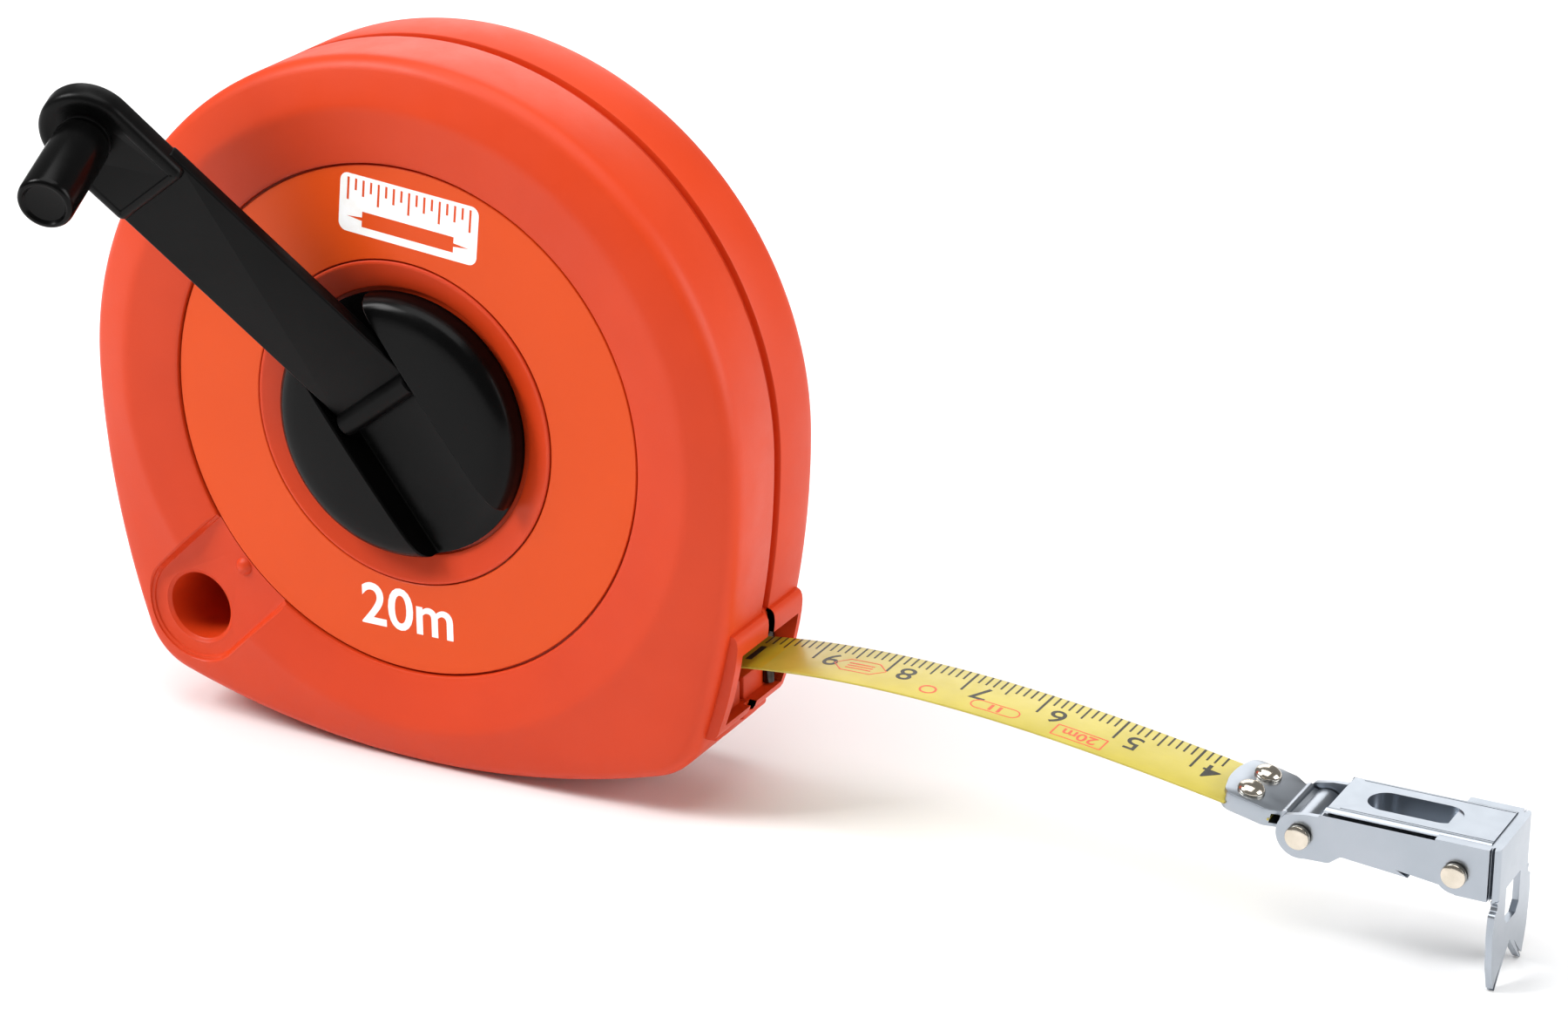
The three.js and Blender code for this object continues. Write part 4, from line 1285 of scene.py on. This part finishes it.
@dataclass
class Tape:
    """The steel strip from the coil to its clip, with its graduations, figures and red marks."""

    datums: Datums
    start: Point = (51.3, -25.2)
    start_reading: int = 9
    inner_x: float = 19.5
    half_width: float = 5.0
    thickness: float = 0.3
    step: float = 1.0
    ink: float = 0.018
    edge_inset: float = 0.12
    tuck: float = 0.2
    clipped: float = 5.6
    first_pitch: float = -0.069
    pitch_rise: float = 0.372
    pitch_fade: float = 0.139
    pitch_span: float = 50.0
    least_pitch: float = -0.25
    scale_marks: tuple[int, int] = (37, 108)
    line: list[Vector] = field(init=False)
    pitches: list[float] = field(init=False)
    zero: int = field(init=False)

    def __post_init__(self) -> None:
        """Works out the strip's middle line from inside the case to its clip."""
        inward: list[tuple[Vector, float]] = []
        place, distance = Vector(self.start), 0.0
        while place.x > self.inner_x:
            pitch = self.pitch(distance - self.step / 2)
            place = place + Vector((-math.cos(pitch), math.sin(pitch))) * self.step
            distance -= self.step
            inward.insert(0, (place, self.pitch(distance)))
        outward = [(Vector(self.start), self.pitch(0))]
        place, distance = Vector(self.start), 0.0
        while place.x < self.datums.clip_pin.x - 4.6:
            pitch = self.pitch(distance + self.step / 2)
            place = place + Vector((math.cos(pitch), -math.sin(pitch))) * self.step
            distance += self.step
            outward.append((place, self.pitch(distance)))
        self.line = [place for place, _ in inward + outward]
        self.pitches = [pitch for _, pitch in inward + outward]
        self.zero = len(inward)

    def pitch(self, distance: float) -> float:
        """The strip's downward slope at a distance outwards from its reference place."""
        ratio = distance / self.pitch_span
        slope = self.first_pitch + self.pitch_rise * ratio - self.pitch_fade * ratio * ratio
        return max(self.least_pitch, slope)

    def at(self, along: float, lift: float) -> tuple[float, float]:
        """A place on the strip.

        Args:
            along: The distance outwards from the reference place.
            lift: The height over the middle line.

        Returns:
            X and Z.
        """
        spot = min(max(self.zero + along / self.step, 0), len(self.line) - 1.001)
        index = int(spot)
        share = spot - index
        place = self.line[index].lerp(self.line[index + 1], share)
        pitch = self.pitches[index] * (1 - share) + self.pitches[index + 1] * share
        return place.x + lift * math.sin(pitch), place.y + lift * math.cos(pitch)

    def laid(self, flat: Solid, lift: float = 0.0) -> Solid:
        """Bends a flat solid onto the strip: X runs outwards, Y across it, Z up from the middle line."""
        for vert in flat.bm.verts:
            x, z = self.at(vert.co.x, vert.co.z + lift)
            vert.co = (x, vert.co.y + self.datums.split_y, z)
        return flat

    def long_block(self, low: Sequence[float], high: Sequence[float], cut: float = 1.0) -> Solid:
        """A block that is sliced along X, so that it can bend."""
        return Solid.block(low, high).sliced(np.arange(low[0] + cut, high[0] - cut / 4, cut))

    def strip(self) -> bpy.types.Object:
        """Builds the steel strip with softly rounded edges."""
        first, last = -self.zero * self.step, (len(self.line) - 1 - self.zero) * self.step
        half, thick = self.half_width, self.thickness / 2
        outline = softened(rectangle(half, thick, 0.1), steps=3)
        strip = Solid.extruded(outline, first + 1e-3, last - 1e-3, Plane.YZ)
        for side in (-1, 1):
            low, high = sorted((side * (half - self.tuck), side * (half + 1)))
            strip.combined(Join.CUT, Solid.block((last - self.clipped, low, -1), (last + 1, high, 1)))
        self.laid(strip.sliced(np.arange(math.ceil(first) + 1, last, self.step)))
        return strip.piece("steel_tape", Look.TAPE, Slot.TAPE, "tape_end", ["tape_blade"], turn=40)

    def on_top(self, flat: Solid) -> Solid:
        """Lays a print of its own thickness on the strip's upper face."""
        return self.laid(flat, self.thickness / 2)

    def graduations(self) -> None:
        """The millimetre scale along the rear edge."""
        scale = Solid()
        rear = self.half_width - self.edge_inset
        first, last = self.scale_marks
        for millimetre in range(first, last + 1):
            along = self.start_reading * 10 - millimetre
            length = 5.1 if millimetre % 10 == 0 else 3.2 if millimetre % 5 == 0 else 2.3
            half = 0.15 if millimetre % 10 == 0 else 0.12
            mark = Solid.block((along - half, rear - length, -self.ink), (along + half, rear, self.ink))
            scale.absorbed(mark)
        self.on_top(scale).piece("millimetre_scale", Look.BLACK_INK, Slot.TAPE, "tape_end")

    def turned_print(self, flat: Solid, along: float, across: float) -> Solid:
        """Turns a print half round, so that it reads towards the case, and puts it on the strip."""
        flat.moved(Matrix.Translation((along, across, 0)) @ Matrix.Rotation(math.pi, 4, "Z"))
        return self.on_top(flat)

    def figures(self) -> None:
        """The centimetre figures, the larger decimetre figure beside the mouth, and painted shade on the strip at
        the mouth.
        """
        figures = Solid()
        across = self.half_width - 4.8
        for value in range(4, 10):
            along = (self.start_reading - value) * 10 + 2.5
            figure = lettering(str(value), 3.3, 0.02, self.ink)
            figures.absorbed(self.turned_print(figure, along, across))
        figures.absorbed(self.turned_print(lettering("10", 4.4, 0.16, self.ink), -9.6, across - 0.75))
        figures.piece("centimetre_figures", Look.BLACK_INK, Slot.TAPE, "tape_end")
        # A darker yellow patch from inside the case to just past the mouth: painted shade that the mouth casts on
        # the strip.
        side = self.half_width - 0.1
        patch = self.long_block((-18, -side, -self.ink), (-4.6, side, self.ink / 3))
        self.on_top(patch).piece("mouth_shade_patch", Look.DEEP_YELLOW, Slot.TAPE, "tape_end")

    def outline_print(self, corners: Sequence[Corner], stroke: float) -> Solid:
        """A closed line of even stroke as a flat print.

        Args:
            corners: The outline's corners with their radii.
            stroke: The stroke's width.

        Returns:
            The solid, round the origin.
        """
        outer = Solid.extruded(softened(corners, steps=8), -self.ink, self.ink)
        xs, ys = [abs(x) for x, _, _ in corners], [abs(y) for _, y, _ in corners]
        shrink_x, shrink_y = 1 - stroke / max(xs), 1 - stroke / max(ys)
        inner = [(x * shrink_x, y * shrink_y, max(radius - stroke, 0)) for x, y, radius in corners]
        outer.combined(Join.CUT, Solid.extruded(softened(inner, steps=8), -1, 1))
        return outer.sliced(np.arange(-4, 4.1, 0.8))

    def red_marks(self) -> None:
        """The framed length, and plain outlines and bars where a tape carries its small print."""
        marks, ink = Solid(), self.ink
        across = self.half_width - 7.65

        def add(print_: Solid, along: float, side: float) -> None:
            """Puts one print on the strip with the others."""
            marks.absorbed(self.turned_print(print_, along, side))

        add(self.outline_print(rectangle(3.3, 1.45, 0.15), 0.2), 36.7, across)
        add(lettering("20m", 1.9, 0.05, ink), 36.7, across)
        add(self.outline_print(rectangle(3.2, 1.15, 1.1), 0.18), 25.6, across + 0.2)
        for middle in (-0.55, 0.55):
            add(Solid.block((middle - 0.2, -0.75, -ink), (middle + 0.2, 0.75, ink)), 25.6, across + 0.2)
        hexagon = [(-3.6, 0, 0.2), (-2, -1.7, 0.2), (2, -1.7, 0.2), (3.6, 0, 0.2), (2, 1.7, 0.2), (-2, 1.7, 0.2)]
        add(self.outline_print(hexagon, 0.18), 6.6, -0.4)
        for row in (-0.6, 0.05, 0.7):
            add(self.long_block((-1.7, row - 0.12, -ink), (1.7, row + 0.12, ink), 0.8), 6.6, -0.4)
        add(self.outline_print(rectangle(1.1, 1.1, 1.05), 0.28), 16.6, across + 0.35)
        marks.piece("red_marks", Look.RED_INK, Slot.TAPE, "tape_end")

    def build(self) -> None:
        """Builds the strip and its prints."""
        self.strip()
        self.graduations()
        self.figures()
        self.red_marks()


# ---- End hook ----

@dataclass
class EndHook:
    """The riveted clip on the tape, the folded frame hung from it, and the hinged two-pronged claw."""

    datums: Datums
    pitch: float = 12.5
    clip_length: float = 10.9
    clip_half: float = 5.0
    clip_edge: float = 0.35
    knuckle_half: float = 4.1
    slot_half: float = 0.62
    plate: float = 0.5
    seat_offset: float = 0.3
    rivets: tuple[Point, ...] = ((-7.6, -2.4), (-7.4, 2.4))
    pin_radius: float = 0.95
    claw_pin_radius: float = 1.0
    gap: float = 0.3
    flange: float = 0.7
    top_z: float = -27.7
    claw_thickness: float = 0.8

    @property
    def flange_outer(self) -> float:
        """Half the frame's width over its flanges."""
        return self.knuckle_half + self.gap + self.flange

    @property
    def ear_outer(self) -> float:
        """Half the claw's width over its ears."""
        return self.flange_outer + self.gap + self.flange

    def clip_place(self) -> Matrix:
        """The clip's own frame: its pin at the origin, X along the tape's end, Z up from it."""
        return Matrix.Translation(self.datums.clip_pin) @ Matrix.Rotation(math.radians(self.pitch), 4, "Y")

    def clip(self) -> None:
        """Builds the folded clip and its two rivets."""
        half, knuckle, top = self.clip_half, self.knuckle_half, self.slot_half + self.plate
        left = -self.clip_length
        bow = 12.3
        end = [(left + bow - math.sqrt(bow ** 2 - y ** 2), y, 0) for y in (1.8, 1.2, 0.6, 0, -0.6, -1.2, -1.8)]
        shoulder = left + bow - math.sqrt(bow ** 2 - half ** 2) - 0.2
        corners = [
            (shoulder, -half, 1.6), (-4.6, -half, 1.5), (-3.1, -knuckle, 1.2), (0.0, -knuckle, 0),
            (0.0, knuckle, 0), (-3.1, knuckle, 1.2), (-4.6, half, 1.5), (shoulder, half, 1.6), *end,
        ]
        low, high = self.seat_offset - top, self.seat_offset + top
        plates = Solid.extruded(softened(corners), low, high)
        plates.bevelled(0.12, segments=2, turn=60)
        inside = half - self.clip_edge
        slit = Solid.block(
            (left - 1, -inside, self.seat_offset - self.slot_half),
            (-3, inside, self.seat_offset + self.slot_half),
        )
        plates.combined(Join.CUT, slit)
        roll = self.pin_radius + self.gap + 0.75
        barrel = Solid.spun([
            (0, -knuckle), (roll - 0.12, -knuckle), (roll, -knuckle + 0.12), (roll, knuckle - 0.12),
            (roll - 0.12, knuckle), (0, knuckle),
        ], 48)
        seam = Solid.spun([
            (0, -knuckle), (0.45, -knuckle), (0.5, -knuckle + 0.06), (0.5, knuckle - 0.06), (0.45, knuckle),
            (0, knuckle),
        ], 24).moved(over(-2.55, high - 0.1))
        plates.combined(Join.ADD, barrel, seam)
        plates.combined(Join.CUT, Solid.rod(self.pin_radius + self.gap, -8, 8, 40))
        for x, y in self.rivets:
            hole = Solid.rod(1.1, -4, 4)
            plates.combined(Join.CUT, hole.moved(Matrix.Translation((x, y, 0)) @ UPRIGHT))
        plates.moved(self.clip_place()).piece("tape_end_clip", Look.ZINC, Slot.PLATED, "tape_end", ["tape_clip"])
        seat, tail = high + 0.02, low - 0.05
        swings = [math.radians(turn) for turn in range(0, 91, 10)]
        head = [(1.65 * math.cos(swing), seat + 0.12 + 0.95 * math.sin(swing)) for swing in swings]
        for number, (x, y) in enumerate(self.rivets, 1):
            rivet = Solid.spun([
                (0, tail - 0.5), (0.9, tail - 0.45), (1.25, tail - 0.25), (1.3, tail), (0.8, tail), (0.8, seat),
                (1.6, seat), *head,
            ], 48)
            rivet.moved(self.clip_place() @ Matrix.Translation((x, y, 0)) @ UPRIGHT)
            stands_for = [f"tape_rivet_{number}"]
            rivet.piece(f"dome_rivet_{number}", Look.NICKEL, Slot.BRIGHT, "tape_end", stands_for)

    def headed_pin(self, place: Vector, radius: float, half: float) -> Solid:
        """A pin along Y with a flat, slightly domed head outside each end."""
        seat, head = half + 0.25, 0.8
        side = [
            (radius, seat), (1.46, seat), (1.5, seat + 0.05), (1.5, seat + head - 0.34), (1.44, seat + head - 0.2),
            (1.28, seat + head - 0.1), (0.8, seat + head - 0.03), (0, seat + head),
        ]
        profile = [(r, -y) for r, y in reversed(side)] + side
        return Solid.spun(profile, 48).moved(Matrix.Translation((place.x, self.datums.split_y, place.z)))

    def u_bend(self, half: float, thickness: float, depth: float, radius: float) -> list[Point]:
        """A U section with its closed side at 0, open towards smaller second coordinates."""
        inside, inner_radius = half - thickness, max(radius - thickness, 0.15)
        corners = [
            (-half, -depth, 0), (-half, 0, radius), (half, 0, radius), (half, -depth, 0), (inside, -depth, 0),
            (inside, -thickness, inner_radius), (-inside, -thickness, inner_radius), (-inside, -depth, 0),
        ]
        return softened(corners, steps=6)

    def bore(self, place: Vector, radius: float) -> Solid:
        """A bore along Y on a pin's axis."""
        rod = Solid.rod(radius, -12, 12, 40)
        return rod.moved(Matrix.Translation((place.x, self.datums.split_y, place.z)))

    def frame(self) -> None:
        """Builds the folded hook frame with its window, and its pin at the clip."""
        split, top = self.datums.split_y, self.top_z
        clip, claw = self.datums.clip_pin, self.datums.claw_pin
        end = claw.x + 3.6
        section = [(split + y, top + z) for y, z in self.u_bend(self.flange_outer, self.flange, 8.2, 0.9)]
        body = Solid.extruded(section, 112, end, Plane.YZ)
        side = [
            (end, top + 1, 0), (end, claw.z - 0.3, 0), *sharp(arc(claw.x, claw.z, 2.6, -12, -92, 14)),
            (129.9, -34.1, 0.8), (128.7, -33.4, 0.8), (121.9, -33.4, 0.8), (120.5, -34.5, 0.8),
            *sharp(arc(clip.x, clip.z, 2.9, -75, -232, 24)), (117.3, -29.0, 0.4), (119.2, -28.9, 0.6),
            (119.9, top + 0.3, 0.5), (120.2, top + 1, 0),
        ]
        body.combined(Join.KEEP, Solid.extruded(softened(side), split - 9, split + 9, Plane.XZ))
        half, left, right = 2.4, 125.6, 132.2
        window = [
            (left - half, -half, 2.35), (right + half, -half, 2.35), (right + half, half, 2.35),
            (left - half, half, 2.35),
        ]
        hole = Solid.extruded([(x, split + y) for x, y in softened(window, steps=10)], top - 3, top + 1)
        over_clip = Solid.block(
            (110, split - self.flange_outer + self.flange, -40),
            (119.9, split + self.flange_outer - self.flange, -20),
        )
        body.combined(Join.CUT, hole, over_clip)
        for side_y in (split - 4.05, split + 4.05):
            line = Solid.block((121.2, side_y - 0.07, top - 0.12), (end + 1, side_y + 0.07, top + 1))
            body.combined(Join.CUT, line)
        body.combined(
            Join.CUT, self.bore(clip, self.pin_radius + self.gap), self.bore(claw, self.claw_pin_radius + self.gap),
        )
        body.piece("hook_body", Look.ZINC, Slot.PLATED, "hook", ["hook_frame"])
        pin = self.headed_pin(clip, self.pin_radius, self.flange_outer)
        pin.piece("frame_hinge_pin", Look.NICKEL, Slot.BRIGHT, "tape_end", ["frame_pin"])
        pin = self.headed_pin(claw, self.claw_pin_radius, self.ear_outer)
        pin.piece("claw_hinge_pin", Look.NICKEL, Slot.BRIGHT, "hook", ["claw_pin"])

    def claw(self) -> bpy.types.Object:
        """Builds the claw: a plate with two ears folded back round the frame, a window and two prongs."""
        split, face = self.datums.split_y, self.datums.claw_face_x
        pin, base = self.datums.claw_pin, self.datums.base_z
        outer, top, ear_low = self.ear_outer, self.top_z - 0.2, -34.4
        thick = self.claw_thickness
        section = [(face + z, split + y) for y, z in self.u_bend(outer, thick, 9, 1.15)]
        body = Solid.extruded(section, ear_low, top)
        side = [
            (face + 1, top + 1), (face + 1, ear_low - 1), (pin.x + 0.3, ear_low - 0.1),
            *arc(pin.x, pin.z, 2.6, 268, 180, 16), (pin.x - 2.6, top + 1),
        ]
        body.combined(Join.KEEP, Solid.extruded(side, split - 9, split + 9, Plane.XZ))
        flat = outer - 1.3
        half = [
            (0, ear_low + 0.6, 0), (flat, ear_low + 0.6, 0), (flat, ear_low - 0.02, 0),
            (outer - 0.35, ear_low - 0.03, 0.1), (outer - 0.75, ear_low - 0.65, 0.3),
            (outer - 0.45, ear_low - 1.15, 0.3), (outer + 0.25, ear_low - 1.45, 0.5), (outer + 0.5, -38.5, 4),
            (outer + 0.1, -42.5, 4), (outer - 0.95, -45.6, 0.4), (outer - 1.5, base, 0.25),
            (outer - 2.1, -45.7, 0.4), (outer - 2.8, -44.1, 1.0), (outer - 4.1, -42.7, 0.8), (0.0, -41.7, 0),
        ]
        right = softened(half, closed=False)
        outline = [*right, *((-y, z) for y, z in right[-2:0:-1])]
        plate = Solid.extruded([(split + y, z) for y, z in outline], face - thick, face, Plane.YZ)
        body.combined(Join.ADD, plate)
        window = [
            (2.5, -33.9, 0.2), (2.5, -37.8, 0.2), (1.5, -38.9, 0.2), (-1.5, -38.9, 0.2), (-2.5, -37.8, 0.2),
            (-2.5, -33.9, 0.2),
        ]
        hole = Solid.extruded([(split + y, z) for y, z in softened(window)], 138, 150, Plane.YZ)
        body.combined(Join.CUT, hole, self.bore(pin, self.claw_pin_radius + self.gap))
        return body.piece("claw_plate", Look.ZINC, Slot.PLATED, "claw", ["end_claw"])

    def build(self) -> None:
        """Builds the clip, the frame and the claw."""
        self.clip()
        self.frame()
        self.claw()


# ---- Studio ----

@dataclass
class Studio:
    """A plain pale floor, soft lights and the camera."""

    datums: Datums
    focal: float = 97.5
    distance: float = 0.5
    turn: float = 27.627
    lift: float = 22.339
    target: tuple[float, float, float] = (0.05297, -0.022, -0.00154)
    floor_half: float = 3.0

    def floor(self) -> None:
        """Lays the floor under the case and the claw."""
        made = Solid()
        half = self.floor_half / MM
        bmesh.ops.create_grid(made.bm, x_segments=8, y_segments=8, size=half)
        mesh = bpy.data.meshes.new("studio_floor")
        place = Matrix.Translation((0, 0, self.datums.base_z * MM)) @ Matrix.Scale(MM, 4)
        bmesh.ops.transform(made.bm, matrix=place, verts=made.bm.verts)
        made.bm.to_mesh(mesh)
        made.bm.free()
        mesh.materials.append(Look.PAPER.material())
        floor = linked("studio_floor", mesh)

    def light(self, name: str, place: Sequence[float], size: float, power: float) -> None:
        """Adds a square soft light that faces the object.

        Args:
            name: The light's name.
            place: Where it hangs, in metres.
            size: The length of its sides, in metres.
            power: Its power in watts.
        """
        lamp = bpy.data.lights.new(name, "AREA")
        lamp.size, lamp.energy = size, power
        holder = linked(name, lamp)
        holder.location = place
        aim = Vector(self.target) - Vector(place)
        holder.rotation_euler = aim.to_track_quat("-Z", "Y").to_euler()

    def lights(self) -> None:
        """Hangs the key light, the fill, the overhead panel and the even glow of the room."""
        self.light("key_light", (-0.72, -0.55, 0.85), 0.5, 13.0)
        self.light("side_fill", (0.95, 0.2, 0.3), 0.6, 6.0)
        self.light("overhead_panel", (0.05, -0.1, 0.95), 0.9, 8.0)
        self.light("back_panel", (-0.45, 1.0, 0.5), 0.8, 4.0)
        world = bpy.data.worlds.new("soft_room")
        world.use_nodes = True
        world.node_tree.nodes.clear()
        glow = add_node(
            world.node_tree, "ShaderNodeBackground", {"Color": linear("#FFFFFF"), "Strength": 0.25},
        )
        add_node(world.node_tree, "ShaderNodeOutputWorld", {"Surface": glow.outputs[0]})
        bpy.context.scene.world = world
        bpy.context.scene.view_settings.view_transform = "Standard"

    def camera(self) -> None:
        """Sets the camera up in front, to the right and above."""
        lens = bpy.data.cameras.new("camera")
        lens.lens, lens.sensor_width = self.focal, 36
        lens.clip_start, lens.clip_end = 0.01, 20
        holder = linked("camera", lens)
        turn, lift = math.radians(self.turn), math.radians(self.lift)
        back = Vector((math.cos(lift) * math.sin(turn), -math.cos(lift) * math.cos(turn), math.sin(lift)))
        holder.location = Vector(self.target) + back * self.distance
        holder.rotation_euler = (-back).to_track_quat("-Z", "Y").to_euler()
        bpy.context.scene.camera = holder

    def build(self) -> None:
        """Builds the floor, the lights and the camera."""
        self.floor()
        self.lights()
        self.camera()


def main() -> None:
    logging.basicConfig(level=logging.INFO, format="%(message)s")
    datums = Datums.read()
    for part in (Case(datums), Crank(datums), Tape(datums), EndHook(datums), Studio(datums)):
        LOG.info("building %s", type(part).__name__)
        part.build()


if __name__ == "__main__":
    main()
